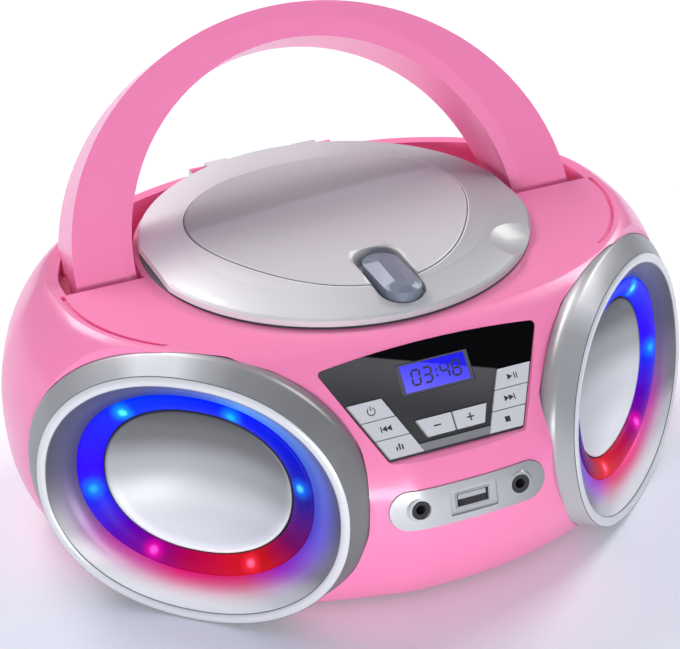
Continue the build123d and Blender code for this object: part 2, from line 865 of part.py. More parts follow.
# Lid, its window disc and the hook below it
lid_under = lid_ring_top - window_depth - lid_shell
seat = window_radius + panel_gap
with BuildPart() as lid_builder:
    with BuildSketch(Plane.XZ):
        with BuildLine():
            Polyline(
                (0, lid_under),
                (0, lid_ring_top - window_depth),
                (seat, lid_ring_top - window_depth),
                (seat, lid_ring_top),
            )
            ThreePointArc((seat, lid_ring_top), (64.3, 107.05), (lid_radius - 0.9, lid_edge_top + 0.3))
            Polyline(
                (lid_radius - 0.9, lid_edge_top + 0.3),
                (lid_radius, lid_edge_top - 0.5),
                (lid_radius, lid_bottom),
                (lid_hollow_radius, lid_bottom),
                (lid_hollow_radius, lid_under),
                (0, lid_under),
            )
        make_face()
    revolve(axis=Axis.Z)
lid_form = lid_builder.part
with BuildPart() as window_builder:
    with BuildSketch(Plane.XZ):
        with BuildLine():
            edge_top = lid_ring_top + window_stand
            Line((0, lid_ring_top - window_depth), (window_radius, lid_ring_top - window_depth))
            Line((window_radius, lid_ring_top - window_depth), (window_radius, edge_top - 0.4))
            Line((window_radius, edge_top - 0.4), (window_radius - 0.5, edge_top))
            ThreePointArc(
                (window_radius - 0.5, edge_top),
                (window_radius / 2, edge_top + window_crown * 0.75),
                (0, edge_top + window_crown),
            )
            Line((0, edge_top + window_crown), (0, lid_ring_top - window_depth))
        make_face()
    revolve(axis=Axis.Z)
recess = racetrack(recess_width, recess_length, button_x, recess_y, recess_floor, 120)
recess_block = racetrack(
    recess_width + 2 * recess_wall,
    recess_length + 2 * recess_wall,
    button_x,
    recess_y,
    lid_bottom,
    lid_ring_top,
)
lid_top_cap = rod_z(0, 0, lid_bottom, lid_ring_top - window_depth, lid_hollow_radius + 2)
scoop_turn = math.radians(scoop_azimuth)
scoop = Pos(
    scoop_distance * math.cos(scoop_turn), scoop_distance * math.sin(scoop_turn), scoop_height
) * Sphere(scoop_radius)
lid_flats = box(-lid_flat_x, lid_flat_x, -lid_radius - 1, lid_radius + 1, 0, 200)
lid = (lid_form & lid_flats) + (recess_block & lid_top_cap)
lid = lid - recess - scoop
stem_hole = box(
    -stem_half_width - stem_gap,
    stem_half_width + stem_gap,
    stem_front - stem_gap,
    stem_back + stem_gap,
    90,
    recess_floor + 1,
)
lid = lid - stem_hole
for side in (-1, 1):
    x0, x1 = side * hook_x - hook_width / 2, side * hook_x + hook_width / 2
    lid = lid + side_profile(
        [
            (hook_back, lid_bottom),
            (hook_back, hook_bottom),
            (hook_front, hook_bottom),
            (barb_front, hook_bottom + barb_height - 0.5),
            (barb_front, hook_bottom + barb_height),
            (hook_front, hook_bottom + barb_height),
            (hook_front, lid_bottom),
        ],
        x0,
        x1,
    )
    x0, x1 = sorted((side * lid_knuckle_start, side * lid_knuckle_end))
    arm = box(x0, x1, hinge_pocket_front + 0.4, hinge_y + 1.4, hinge_z, lid_bottom + lid_arm_rise)
    lid = lid + arm + rod_x(x0, x1, hinge_y, hinge_z, hinge_knuckle_radius)
    lid = lid - rod_x(x0, x1, hinge_y, hinge_z, hinge_pin_radius + running_gap)
add("lid", lid)
add("lid_window", window_builder.part - recess)
add("lid_hinge_pin", rod_x(-hinge_half_width, hinge_half_width, hinge_y, hinge_z, hinge_pin_radius))

# Open button with its stem, and the catch that the stem's foot pushes
button_bottom = recess_floor + button_travel + 0.2
body = racetrack(button_width, button_length, button_x, button_y, button_bottom, button_top)
crown = loft(
    [
        Pos(button_x, button_y, button_top) * Rot(0, 0, 90) * SlotOverall(button_length, button_width),
        Pos(button_x, button_y, button_top + button_crown)
        * Rot(0, 0, 90)
        * SlotOverall(button_length * 0.74, button_width * 0.5),
    ],
    ruled=True,
)
stem_foot = ramp_foot_z + catch_gap * 1.4
stem = side_profile(
    [
        (stem_front, button_bottom + 1),
        (stem_front, stem_foot + ramp_foot_y - stem_front),
        (ramp_foot_y, stem_foot),
        (stem_back, stem_foot),
        (stem_back, button_bottom + 1),
    ],
    -stem_half_width,
    stem_half_width,
)
add("open_button", body + crown + stem)
ramp_top_y = ramp_foot_y - (catch_top - ramp_foot_z)
catch_post = side_profile(
    [
        (catch_post_front, tray_floor + catch_gap),
        (ramp_foot_y, tray_floor + catch_gap),
        (ramp_foot_y, ramp_foot_z),
        (ramp_top_y, catch_top),
        (catch_post_front, catch_top),
    ],
    -stem_half_width,
    stem_half_width,
)
catch_bar = box(
    -catch_half_width, catch_half_width, catch_front, catch_edge, catch_top - catch_lip, catch_top
)
add("lid_catch", catch_post + catch_bar)

# Handle and its two pins
handle_plane = Plane(
    origin=(0, handle_base_y, handle_base_z), x_dir=(1, 0, 0), z_dir=(0, -math.cos(lean), math.sin(lean))
)


def on_handle(shape):
    """Place a shape built with X across, Y up the handle and Z towards its front."""
    return handle_plane * shape


arch_face = Ellipse(handle_outer_half_width, handle_outer_height)
arch_face = arch_face - Ellipse(handle_inner_half_width, handle_inner_height)
arch_face = arch_face & Pos(0, handle_outer_height) * Rectangle(400, 2 * handle_outer_height)
handle = Pos(0, 0, -handle_depth) * extrude(arch_face, handle_depth)
bevel = loft(
    [
        Pos(0, 0, 0.01)
        * Ellipse(handle_inner_half_width + handle_bevel_side, handle_inner_height + handle_bevel_top),
        Pos(0, 0, -handle_bevel_depth) * Ellipse(handle_inner_half_width, handle_inner_height),
    ],
    ruled=True,
)
handle = handle - bevel
for side in (-1, 1):
    x0, x1 = sorted((side * handle_inner_half_width, side * handle_outer_half_width))
    heel = box(x0 - 3, x1 + 3, -5, heel_rise, -handle_depth - 5, -lug_depth)
    lug = box(x0, x1, -pivot_down, 0.5, -lug_depth, 0)
    eye = Pos((x0 + x1) / 2, -pivot_down, -pivot_in) * Rot(0, 90, 0) * Cylinder(lug_radius, x1 - x0)
    bore = Pos((x0 + x1) / 2, -pivot_down, -pivot_in) * Rot(0, 90, 0) * Cylinder(
        handle_pin_radius + running_gap, x1 - x0 + 10
    )
    handle = handle - heel + lug + eye - bore
handle = on_handle(handle)
inside_rim = rim_prism(-rim_clearance, 0, cabinet_top + rim_clearance)
handle = handle - (box(-200, 200, part_line_y + 1, 200, 60, cabinet_top + rim_clearance) - inside_rim)
add("handle", handle)
pins = []
for side in (-1, 1):
    x0, x1 = sorted((side * pin_inner_x, side * (pin_outer_x - 0.2)))
    pins.append(rod_x(x0, x1, pivot_y, pivot_z, handle_pin_radius))
add("handle_pins", Compound(pins))

# Speakers
def dish(a, b, top):
    """A filled bowl that rounds off towards its middle, with its brim at local depth top."""
    sections = []
    for share in cone_shares:
        sections.append(Pos(0, 0, top - cone_depth * (1 - share**2)) * superoval(a * share, b * share))
    return loft(sections[::-1], ruled=True)


for side_name, side in speaker_sides.items():
    plane = speaker_plane(side)
    bezel = oval_frustum(bezel_a, bezel_b, -bezel_slope_depth, lip_a, lip_b, 0)
    bezel = bezel + oval_prism(bezel_a, bezel_b, -bezel_flange_end, -bezel_slope_depth)
    funnel = oval_frustum(
        ring_outer_a, ring_outer_b, -ring_outer_depth, lip_a - lip_width, lip_b - lip_width, 0
    )
    bezel = bezel - funnel
    bezel = bezel - oval_prism(
        ring_outer_a + panel_gap, ring_outer_b + panel_gap, -ring_back_depth, -ring_outer_depth
    )
    bezel = bezel - oval_prism(
        ring_outer_a - ring_seat_lip, ring_outer_b - ring_seat_lip, -20, -ring_back_depth
    )
    add(f"speaker_bezel_{side_name}", plane * bezel)
    ring = oval_prism(ring_outer_a, ring_outer_b, -ring_back_depth, -ring_outer_depth)
    ring = ring - oval_frustum(
        ring_inner_a, ring_inner_b, -ring_inner_depth, ring_outer_a, ring_outer_b, -ring_outer_depth
    )
    ring = ring - oval_prism(ring_inner_a, ring_inner_b, -20, 0)
    add(f"light_ring_{side_name}", plane * ring)
    board_front_depth = bezel_flange_end
    board_back_depth = board_front_depth + light_board_thickness
    flange_a = ring_inner_a + frame_flange_grow
    flange_b = ring_inner_b + frame_flange_grow
    board = oval_prism(flange_a, flange_b, -board_back_depth, -board_front_depth)
    board = board - oval_prism(ring_inner_a + 1.2, ring_inner_b + 1.2, -20, 0)
    mid_a = (ring_outer_a - ring_seat_lip + ring_inner_a) / 2
    mid_b = (ring_outer_b - ring_seat_lip + ring_inner_b) / 2
    for i in range(light_count):
        turn = 2 * math.pi * i / light_count - math.radians(light_lean * side)
        x, y = oval_point(mid_a, mid_b, turn)
        board = board + Pos(x, y, -board_front_depth + light_height / 2) * Cylinder(light_radius, light_height)
    add(f"light_board_{side_name}", plane * board)
    rim_a, rim_b = ring_inner_a - 0.2, ring_inner_b - 0.2
    surround_top = cone_rim_depth - 0.7
    surround = oval_prism(rim_a, rim_b, -ring_back_depth - surround_thickness, -surround_top)
    surround = surround + oval_prism(
        ring_inner_a + 0.8, ring_inner_b + 0.8, -ring_back_depth - surround_thickness, -ring_back_depth
    )
    surround = surround - oval_prism(rim_a - surround_lip, rim_b - surround_lip, -20, 0)
    add(f"speaker_surround_{side_name}", plane * surround)
    cone_a, cone_b = rim_a - surround_lip - 0.1, rim_b - surround_lip - 0.1
    cone = dish(cone_a, cone_b, -cone_rim_depth) - dish(cone_a, cone_b, -cone_rim_depth + cone_wall)
    add(f"speaker_cone_{side_name}", plane * cone)
    neck_a, neck_b = ring_inner_a + 0.9, ring_inner_b + 0.9
    neck_top = ring_back_depth + surround_thickness
    frame = oval_prism(neck_a, neck_b, -frame_neck_depth, -neck_top)
    frame = frame + oval_prism(flange_a, flange_b, -board_back_depth - frame_wall, -board_back_depth)
    frame = frame + oval_frustum(
        frame_back_radius, frame_back_radius, -frame_back_depth, neck_a, neck_b, -frame_neck_depth
    )
    frame = frame - oval_prism(neck_a - frame_wall, neck_b - frame_wall, -frame_neck_depth, 0)
    frame = frame - oval_frustum(
        frame_back_radius - frame_wall,
        frame_back_radius - frame_wall,
        -frame_back_depth + frame_wall,
        neck_a - frame_wall,
        neck_b - frame_wall,
        -frame_neck_depth,
    )
    add(f"speaker_frame_{side_name}", plane * frame)
    magnet = Pos(0, 0, -frame_back_depth - magnet_length / 2) * Cylinder(magnet_radius, magnet_length)
    add(f"speaker_magnet_{side_name}", plane * magnet)


# Display panel, screen, keys and their board
def key_outline(side, row, last_row=2):
    """One column key's outline on the panel, following the panel's slanted side."""
    high = key_row_top - row * key_row_pitch
    low = panel_bottom + key_edge_gap if row == last_row else high - key_height
    points = []
    for t in (high, low):
        points.append((side * (panel_half_width(t) - key_edge_gap - key_width), t))
        points.append((side * (panel_half_width(t) - key_edge_gap), t))
    return polygon([points[0], points[1], points[3], points[2]])


def volume_outline(side):
    """One volume key's outline."""
    low = volume_top - volume_height
    return polygon(
        [
            (volume_x + side * volume_split, volume_top),
            (volume_x + side * volume_top_half, volume_top),
            (volume_x + side * volume_bottom_half, low),
            (volume_x + side * volume_split, low),
        ]
    )


key_faces = {
    "key_power": key_outline(-1, 0),
    "key_previous": key_outline(-1, 1),
    "key_mode": key_outline(-1, 2),
    "key_play": key_outline(1, 0),
    "key_next": key_outline(1, 1),
    "key_stop": key_outline(1, 2),
    "key_volume_down": volume_outline(-1),
    "key_volume_up": volume_outline(1),
}
panel = raised(panel_face(), -panel_thickness, 0)
for name, face in key_faces.items():
    panel = panel - raised(offset(face, key_gap, kind=Kind.INTERSECTION), -10, 10)
    middle = face.center()
    stem = Pos(middle.X, middle.Y, -(key_stem_depth + key_depth) / 2)
    stem = stem * Cylinder(key_stem_radius, key_stem_depth - key_depth)
    add(name, on_display(raised(face, -key_depth, key_stand) + stem))
panel = panel - Pos(0, lcd_y, 0) * Box(lcd_width + 2 * panel_gap, lcd_height + 2 * panel_gap, 20)
add("display_panel", on_display(panel))
screen = Pos(0, lcd_y, -lcd_sink - lcd_thickness / 2) * Box(lcd_width, lcd_height, lcd_thickness)
add("display_screen", on_display(screen))
trim_top = panel_bottom + key_edge_gap + trim_height
trim_points = []
for side in (-1, 1):
    for t in (panel_bottom + key_edge_gap, trim_top)[:: -side]:
        trim_points.append((side * (panel_half_width(t) - key_edge_gap - key_width - key_gap), t))
add("key_trim", on_display(raised(polygon(trim_points), 0, key_stand)))
board_face = panel_face(-key_board_margin)
board_top = -panel_thickness - panel_ledge_thickness
key_board = raised(board_face, board_top - key_board_thickness, board_top)
add("key_board", on_display(key_board))

# Socket panel, jacks, data socket and their board
plate = socket_skin & socket_prism & front_half
for x in (-jack_x, jack_x):
    ring = socket_plane(x) * Pos(0, 0, jack_ring_height / 2 - 0.6) * Cone(
        jack_ring_radius, jack_ring_radius - 1.2, jack_ring_height + 1.2
    )
    plate = plate + (ring - sink_form)
for x in (-jack_x, jack_x):
    plate = plate - jack_bore(x, jack_barrel_radius + panel_gap, -10, 20)
plate = plate - usb_block(usb_recess_width, usb_recess_height, -10, usb_recess_depth)
plate = plate - usb_block(usb_width + 2 * panel_gap, usb_height + 2 * panel_gap, -10, 20)
add("socket_panel", plate)
jacks = []
jack_body_half = 5.0
jack_body_start = 4.2
for x in (-jack_x, jack_x):
    jack = jack_bore(x, jack_barrel_radius, -jack_ring_height + 0.3, jack_body_start)
    jack = jack + socket_plane(x) * Pos(0, 0, -(jack_body_start + jack_length) / 2) * Box(
        2 * jack_body_half, 2 * jack_body_half, jack_length - jack_body_start
    )
    jacks.append(jack - jack_bore(x, jack_bore_radius, -5, jack_length - 1))
add("audio_jacks", Compound(jacks))
usb = usb_block(usb_width, usb_height, usb_sink, usb_sink + usb_length)
usb = usb - usb_block(
    usb_width - 2 * usb_wall, usb_height - 2 * usb_wall, usb_sink - 1, usb_sink + usb_length - usb_wall
)
tongue = socket_plane() * Pos(usb_x, 0.9, -usb_sink - usb_length / 2 - 0.4) * Box(
    usb_width - 2.4, usb_tongue_height, usb_length - 0.8
)
usb_foot_middle = Pos(usb_x, -(usb_height / 2 + jack_body_half) / 2, -usb_sink - usb_length / 2 - 2)
usb_foot = usb_foot_middle * Box(usb_width - 4, jack_body_half - usb_height / 2, usb_length - 5)
usb_foot = socket_plane() * usb_foot
add("usb_socket", usb + tongue + usb_foot)
socket_board = socket_plane() * Pos(
    0, -jack_body_half - socket_board_thickness / 2, -socket_board_start - socket_board_depth / 2
) * Box(2 * socket_half_length - 4, socket_board_thickness, socket_board_depth)
add("socket_board", socket_board)

# Main board with its parts, power parts
board = box(-board_half_x, board_half_x, board_front, board_back, board_z, board_z + board_thickness)
board_top = board_z + board_thickness
board = board + box(*board_heat_sink, board_top, board_top + board_heat_sink_height)
for x, y, radius, height in board_cans:
    board = board + rod_z(x, y, board_top, board_top + height, radius)
board = board + box(*board_chip, board_top, board_top + board_chip_height)
add("main_board", board)
tx, ty = transformer_half
core = box(
    transformer_x - tx,
    transformer_x + tx,
    transformer_y - ty,
    transformer_y + ty,
    plate_top,
    plate_top + transformer_height,
)
winding = box(
    transformer_x - tx - winding_out,
    transformer_x + tx + winding_out,
    transformer_y - ty + winding_in,
    transformer_y + ty - winding_in,
    plate_top + winding_in,
    plate_top + transformer_height - winding_in,
)
add("transformer", core + winding)
inlet = box(
    inlet_x - inlet_width / 2,
    inlet_x + inlet_width / 2,
    inlet_face_y - inlet_depth,
    inlet_face_y,
    inlet_z - inlet_height / 2,
    inlet_z + inlet_height / 2,
)
for x in (inlet_x - inlet_pin_x, inlet_x + inlet_pin_x):
    inlet = inlet - rod_y(x, inlet_z, inlet_face_y - inlet_hole_depth, inlet_face_y + 0.1, inlet_hole_radius)
for x in (inlet_x - inlet_pin_x, inlet_x + inlet_pin_x):
    inlet = inlet + rod_y(x, inlet_z, inlet_face_y - inlet_hole_depth - 2, inlet_face_y - 2, inlet_pin_radius)
add("ac_inlet", inlet)


# Disc drive
def gear(teeth, x, y, z0, height, first_angle, bore):
    """A spur gear with slim teeth, one of them at first_angle in degrees."""
    pitch_radius = gear_module * teeth / 2
    root = pitch_radius - gear_module
    tip = pitch_radius + tooth_addendum * gear_module
    half_root = math.pi * gear_module * tooth_share * 0.62
    half_tip = math.pi * gear_module * tooth_share * 0.3
    wheel = Circle(root)
    for i in range(teeth):
        foot = root - 0.5
        tooth = polygon([(foot, -half_root), (tip, -half_tip), (tip, half_tip), (foot, half_root)])
        wheel = wheel + Rot(0, 0, first_angle + 360 * i / teeth) * tooth
    wheel = wheel - Circle(bore)
    return Pos(x, y, z0) * raised(wheel, 0, height)


chassis_bottom = chassis_top - chassis_thickness
chassis = box(chassis_left, chassis_right, chassis_front, chassis_back, chassis_bottom, chassis_top)
for x, y in post_places:
    chassis = chassis + rod_z(x, y, chassis_top, well_bottom, post_radius)
rail_start = sled_start - 0.4 - rail_block
rail_end = sled_start + sled_length + sled_travel + 0.4 + rail_block
for x0, x1 in ((rail_start, rail_start + rail_block), (rail_end - rail_block, rail_end)):
    for y in (-rail_y, rail_y):
        chassis = chassis + box(x0, x1, y - 3, y + 3, chassis_top, rail_z + 3)
for y in (-rail_y, rail_y):
    chassis = chassis - rod_x(rail_start - 1, rail_end + 1, y, rail_z, rail_radius + 0.02)
rack_pitch_y = -sled_half_width - rack_bar - gear_module
gear_y = rack_pitch_y - gear_module * gear_teeth / 2
pinion_x = gear_x - gear_module * (gear_teeth + pinion_teeth) / 2
chassis = chassis + rod_z(gear_x, gear_y, chassis_top, gear_bottom + gear_height + 0.6, gear_pin_radius)
chassis = chassis - rod_z(0, 0, 70, 90, spindle_radius + 2.0)
chassis = chassis - rod_z(pinion_x, gear_y, 70, 90, 2.0)
add("drive_chassis", chassis)
spindle_motor = rod_z(0, 0, chassis_bottom - motor_height, chassis_bottom, motor_radius)
spindle_top = platter_bottom + platter_thickness
spindle_motor = spindle_motor + rod_z(0, 0, chassis_bottom, spindle_top, spindle_radius)
add("spindle_motor", spindle_motor)
platter = rod_z(0, 0, platter_bottom, platter_bottom + platter_thickness, platter_radius)
platter = platter + rod_z(0, 0, chassis_top + 1.0, platter_bottom, spindle_bush_radius)
hub_bottom = platter_bottom + platter_thickness
platter = platter + rod_z(0, 0, hub_bottom, hub_bottom + hub_height, hub_radius)
platter = platter + Pos(0, 0, hub_bottom + hub_height + 0.6) * Cone(hub_radius, hub_radius - 2.2, 1.2)
platter = platter - rod_z(0, 0, 70, hub_bottom + 0.1, spindle_radius + running_gap)
add("disc_platter", platter)
sled_end = sled_start + sled_length
sled = box(sled_start, sled_end, -sled_half_width, sled_half_width, sled_bottom, sled_bottom + sled_height)
for y in (-rail_y, rail_y):
    sled = sled - rod_x(sled_start - 1, sled_end + 1, y, rail_z, rail_radius + running_gap)
sled = sled + rod_z(sled_start + sled_length / 2, 0, sled_bottom + sled_height, lens_top, lens_radius)
rack_start = gear_x - sled_travel - 3
rack_y = -sled_half_width - rack_bar
sled = sled + box(rack_start, sled_end, rack_y, -sled_half_width, gear_bottom, gear_bottom + gear_height)
tooth_pitch = math.pi * gear_module
half_root = tooth_pitch * tooth_share * 0.62
half_tip = tooth_pitch * tooth_share * 0.3
tip_y = rack_pitch_y - tooth_addendum * gear_module
for i in range(-12, 3):
    x = gear_x + (i + 0.5) * tooth_pitch
    if rack_start + half_root < x < sled_end - half_root:
        foot_y = rack_y + 0.2
        foot = [(x - half_root, foot_y), (x + half_root, foot_y)]
        tooth = polygon(foot + [(x + half_tip, tip_y), (x - half_tip, tip_y)])
        sled = sled + raised(tooth, gear_bottom, gear_bottom + gear_height)
add("pickup_sled", sled)
add("guide_rails", Compound([rod_x(rail_start, rail_end, y, rail_z, rail_radius) for y in (-rail_y, rail_y)]))
gear_bore = gear_pin_radius + running_gap
add("sled_gear", gear(gear_teeth, gear_x, gear_y, gear_bottom, gear_height, 90, gear_bore))
add("motor_pinion", gear(pinion_teeth, pinion_x, gear_y, gear_bottom, gear_height, 0, gear_bore))
sled_motor = rod_z(pinion_x, gear_y, chassis_bottom - sled_motor_height, chassis_bottom, sled_motor_radius)
gear_pin_top = gear_bottom + gear_height + 0.6
sled_motor = sled_motor + rod_z(pinion_x, gear_y, chassis_bottom, gear_pin_top, gear_pin_radius)
add("sled_motor", sled_motor)


# Antenna: a knuckle that swivels on the back wall, and four tubes that slide in each other
knuckle_front = ledge_y + 0.1
block_front = knuckle_front + knuckle_disc
knuckle = rod_y(antenna_x, antenna_z, knuckle_front, block_front, knuckle_half)
block_back = antenna_y + antenna_radii[0]
block_half = knuckle_half * 0.9
block_part = box(
    antenna_x - block_half,
    antenna_x + block_half,
    block_front,
    block_back,
    antenna_z - block_half,
    antenna_z + block_half,
)
block_part = block_part - box(
    antenna_x - 10,
    antenna_x + 10,
    block_front + 0.3,
    block_back + 1,
    antenna_z - knuckle_slot,
    antenna_z + knuckle_slot,
)
knuckle = knuckle + block_part + rod_z(antenna_x, antenna_y, antenna_z - 3, antenna_z + 3, elbow_pin_radius)
knuckle = knuckle + rod_y(antenna_x, antenna_z, ledge_y - wall - 0.1, knuckle_front, knuckle_stem_radius)
head_back = ledge_y - wall - 0.1
head_front = head_back - knuckle_head_thickness
knuckle = knuckle + rod_y(antenna_x, antenna_z, head_front, head_back, knuckle_head_radius)
add("antenna_knuckle", knuckle)
pieces["rear_cabinet"] = pieces["rear_cabinet"] - rod_y(
    antenna_x, antenna_z, ledge_y - wall - 1, ledge_y + 1, knuckle_stem_radius + running_gap
)
for i, radius in enumerate(antenna_radii):
    start = antenna_start - 2.0 * i
    end = antenna_end - antenna_step * i
    tube = rod_x(end, start, antenna_y, antenna_z, radius)
    if i == 0:
        tongue = box(
            start - 1,
            antenna_x,
            antenna_y - elbow_radius,
            antenna_y + elbow_radius,
            antenna_z - elbow_tongue,
            antenna_z + elbow_tongue,
        )
        tongue = tongue + rod_z(
            antenna_x, antenna_y, antenna_z - elbow_tongue, antenna_z + elbow_tongue, elbow_radius
        )
        tube = tube + tongue - rod_z(
            antenna_x, antenna_y, antenna_z - 5, antenna_z + 5, elbow_pin_radius + running_gap
        )
    if i < len(antenna_radii) - 1:
        bore_radius = antenna_radii[i + 1] + running_gap
        tube = tube - rod_x(end - 1, start - 1.6, antenna_y, antenna_z, bore_radius)
    else:
        tube = tube + rod_x(end - antenna_step, end, antenna_y, antenna_z, antenna_tip_radius)
    add(f"antenna_tube_{i + 1}", tube)

# Write every piece, with the origin under the middle of the whole part
low = min(shape.bounding_box().min.Y for shape in pieces.values())
high = max(shape.bounding_box().max.Y for shape in pieces.values())
to_middle = Pos(0, -(low + high) / 2, 0)
os.makedirs("parts", exist_ok=True)
for name, shape in pieces.items():
    export_step(to_middle * shape, f"parts/{name}.step")
print("moved back by", round((low + high) / 2, 4))
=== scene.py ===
import math
import random

import bmesh
import bpy
from mathutils import Matrix, Vector
from mathutils.geometry import delaunay_2d_cdt


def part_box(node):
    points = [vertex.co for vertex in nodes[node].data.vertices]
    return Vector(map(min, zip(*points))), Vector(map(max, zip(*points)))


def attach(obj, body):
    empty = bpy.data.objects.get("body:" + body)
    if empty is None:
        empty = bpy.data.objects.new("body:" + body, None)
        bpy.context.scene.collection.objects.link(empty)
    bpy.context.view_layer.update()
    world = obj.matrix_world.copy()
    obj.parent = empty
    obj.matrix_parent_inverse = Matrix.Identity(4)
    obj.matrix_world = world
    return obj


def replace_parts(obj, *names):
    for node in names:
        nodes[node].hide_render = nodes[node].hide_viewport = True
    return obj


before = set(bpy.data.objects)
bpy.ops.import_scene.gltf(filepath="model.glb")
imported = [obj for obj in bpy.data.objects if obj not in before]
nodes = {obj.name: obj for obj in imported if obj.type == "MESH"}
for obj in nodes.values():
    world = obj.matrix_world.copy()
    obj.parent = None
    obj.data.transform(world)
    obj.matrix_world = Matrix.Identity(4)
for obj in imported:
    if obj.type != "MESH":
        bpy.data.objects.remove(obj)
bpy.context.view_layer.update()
MM = 0.001
SIDES = {"left": -1, "right": 1}

# The part's own frame has the disc's axis at x = 0 and this far back from the origin.
platter_low, platter_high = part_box("disc_platter")
AXIS_Y = (platter_low[1] + platter_high[1]) / 2


def at(x, y, z):
    """A point given in millimetres from the disc's axis, as a vector in the part's frame."""
    return Vector((x * MM, AXIS_Y + y * MM, z * MM))


# Materials
def new_material(name):
    """An empty material with its node tree and the shader."""
    material = bpy.data.materials.new(name)
    material.use_nodes = True
    return material, material.node_tree, material.node_tree.nodes["Principled BSDF"]


def plain(name, color, roughness=0.4, metallic=0.0, coat=0.0, coat_roughness=0.05, specular=0.5):
    """A plain shader."""
    material, _, shader = new_material(name)
    shader.inputs["Base Color"].default_value = (*color, 1)
    shader.inputs["Roughness"].default_value = roughness
    shader.inputs["Metallic"].default_value = metallic
    shader.inputs["Coat Weight"].default_value = coat
    shader.inputs["Coat Roughness"].default_value = coat_roughness
    shader.inputs["Specular IOR Level"].default_value = specular
    return material


def set_stops(ramp, stops):
    """Give a colour ramp its stops: (place from 0 to 1, colour with alpha)."""
    elements = ramp.color_ramp.elements
    while len(elements) < len(stops):
        elements.new(0.5)
    for element, (place, color) in zip(elements, stops):
        element.position = place
        element.color = color


def color_along(tree, origin, direction, stops):
    """The colour by the distance along a direction: stops are (millimetres, colour)."""
    coords = tree.nodes.new("ShaderNodeTexCoord")
    shift = tree.nodes.new("ShaderNodeVectorMath")
    shift.operation = "SUBTRACT"
    shift.inputs[1].default_value = tuple(origin)
    tree.links.new(coords.outputs["Object"], shift.inputs[0])
    along = tree.nodes.new("ShaderNodeVectorMath")
    along.operation = "DOT_PRODUCT"
    along.inputs[1].default_value = tuple(Vector(direction).normalized())
    tree.links.new(shift.outputs["Vector"], along.inputs[0])
    nearest = stops[0][0]
    farthest = stops[-1][0]
    place = tree.nodes.new("ShaderNodeMapRange")
    place.inputs["From Min"].default_value = nearest * MM
    place.inputs["From Max"].default_value = farthest * MM
    tree.links.new(along.outputs["Value"], place.inputs["Value"])
    ramp = tree.nodes.new("ShaderNodeValToRGB")
    ramp.color_ramp.interpolation = "EASE"
    length = farthest - nearest
    set_stops(ramp, [((distance - nearest) / length, (*color, 1)) for distance, color in stops])
    tree.links.new(place.outputs["Result"], ramp.inputs["Fac"])
    return ramp.outputs["Color"]


def shade_along(material, origin, direction, stops):
    """Colour a material by the distance along a direction."""
    tree = material.node_tree
    color = color_along(tree, origin, direction, stops)
    tree.links.new(color, tree.nodes["Principled BSDF"].inputs["Base Color"])


def glow_along(material, origin, direction, stops):
    """Let a material glow in a colour by the distance along a direction."""
    tree = material.node_tree
    shader = tree.nodes["Principled BSDF"]
    tree.links.new(color_along(tree, origin, direction, stops), shader.inputs["Emission Color"])
    shader.inputs["Emission Strength"].default_value = 1.0


def grey(level):
    """An even grey."""
    return (level, level, level * 1.015)


def paint(node, material):
    """Give a CAD node one material."""
    mesh = nodes[node].data
    mesh.materials.clear()
    mesh.materials.append(material)


pink = plain("pink gloss", (0.97, 0.25, 0.48), 0.32, coat=0.25, coat_roughness=0.1)
silver = plain("silver paint", (0.34, 0.34, 0.35), 0.32, metallic=0.45, coat=0.3, coat_roughness=0.1)
lip_white = plain("bright lip", (0.70, 0.70, 0.72), 0.25, metallic=0.1, coat=0.4)
lid_silver = plain("pale silver", grey(0.6), 0.38, metallic=0.1, coat=0.15)
# Painted shade on the lid and its filler: lighter at the left and the back, darker towards the right front.
LID_SHADE_GREYS = [(-75, grey(0.9)), (-20, grey(0.68)), (30, grey(0.5)), (80, grey(0.4))]
shade_along(lid_silver, at(0, 0, 0), (1, -0.35, 0), LID_SHADE_GREYS)
window_grey = plain("mid grey gloss", grey(0.5), 0.36, coat=0.1, coat_roughness=0.15)
# Painted shade on the window: a step darker from a little behind the disc's axis towards the back.
WINDOW_SHADE_GREYS = [(-50, grey(0.62)), (14, grey(0.6)), (19, grey(0.47)), (55, grey(0.54))]
shade_along(window_grey, at(0, 0, 0), (-0.1, 1, 0), WINDOW_SHADE_GREYS)
# Painted shade of the groove round the lid's window
groove_shade_line = plain("dark line", (0.07, 0.07, 0.075), 0.5)
# Painted highlight along the outer edge of that groove
groove_highlight_line = plain("light line", (0.85, 0.85, 0.86), 0.4)
black_gloss = plain("black gloss", (0.002, 0.002, 0.002), 0.15, specular=0.12)
black_dull = plain("black dull", (0.02, 0.02, 0.022), 0.5)
rubber = plain("rubber", (0.006, 0.006, 0.007), 0.8)
steel = plain("steel", (0.55, 0.55, 0.56), 0.3, metallic=1.0)
bright = plain("bright plating", (0.78, 0.78, 0.79), 0.12, metallic=1.0)
board_green = plain("board", (0.02, 0.11, 0.05), 0.45)
magnet = plain("magnet", (0.04, 0.04, 0.045), 0.5)
white_plastic = plain("white plastic", (0.8, 0.8, 0.78), 0.4)
key_grey = plain("key grey", (0.66, 0.66, 0.68), 0.32, metallic=0.1, coat=0.2)
ink = plain("ink", (0.03, 0.03, 0.035), 0.5)
crystal = plain("crystal", (0.2, 0.23, 0.29), 0.42, metallic=0.3)
edge_grey = plain("edge grey", (0.16, 0.16, 0.17), 0.4)
socket_silver = plain("socket silver", grey(0.5), 0.35, metallic=0.2, coat=0.2)
# Painted shade on the socket panel: lighter at the left, darker towards the right.
SOCKET_SHADE_GREYS = [(-36, grey(0.62)), (0, grey(0.5)), (36, grey(0.3))]
shade_along(socket_silver, at(0, 0, 0), (1, 0, 0), SOCKET_SHADE_GREYS)
frame_grey = plain("screen frame", (0.09, 0.09, 0.12), 0.3)
# Painted shade: the well is mid grey rather than black, so that the gap under the lid shows a grey shade
# line, not a black one.
well_shade_grey = plain("well grey", grey(0.22), 0.5)

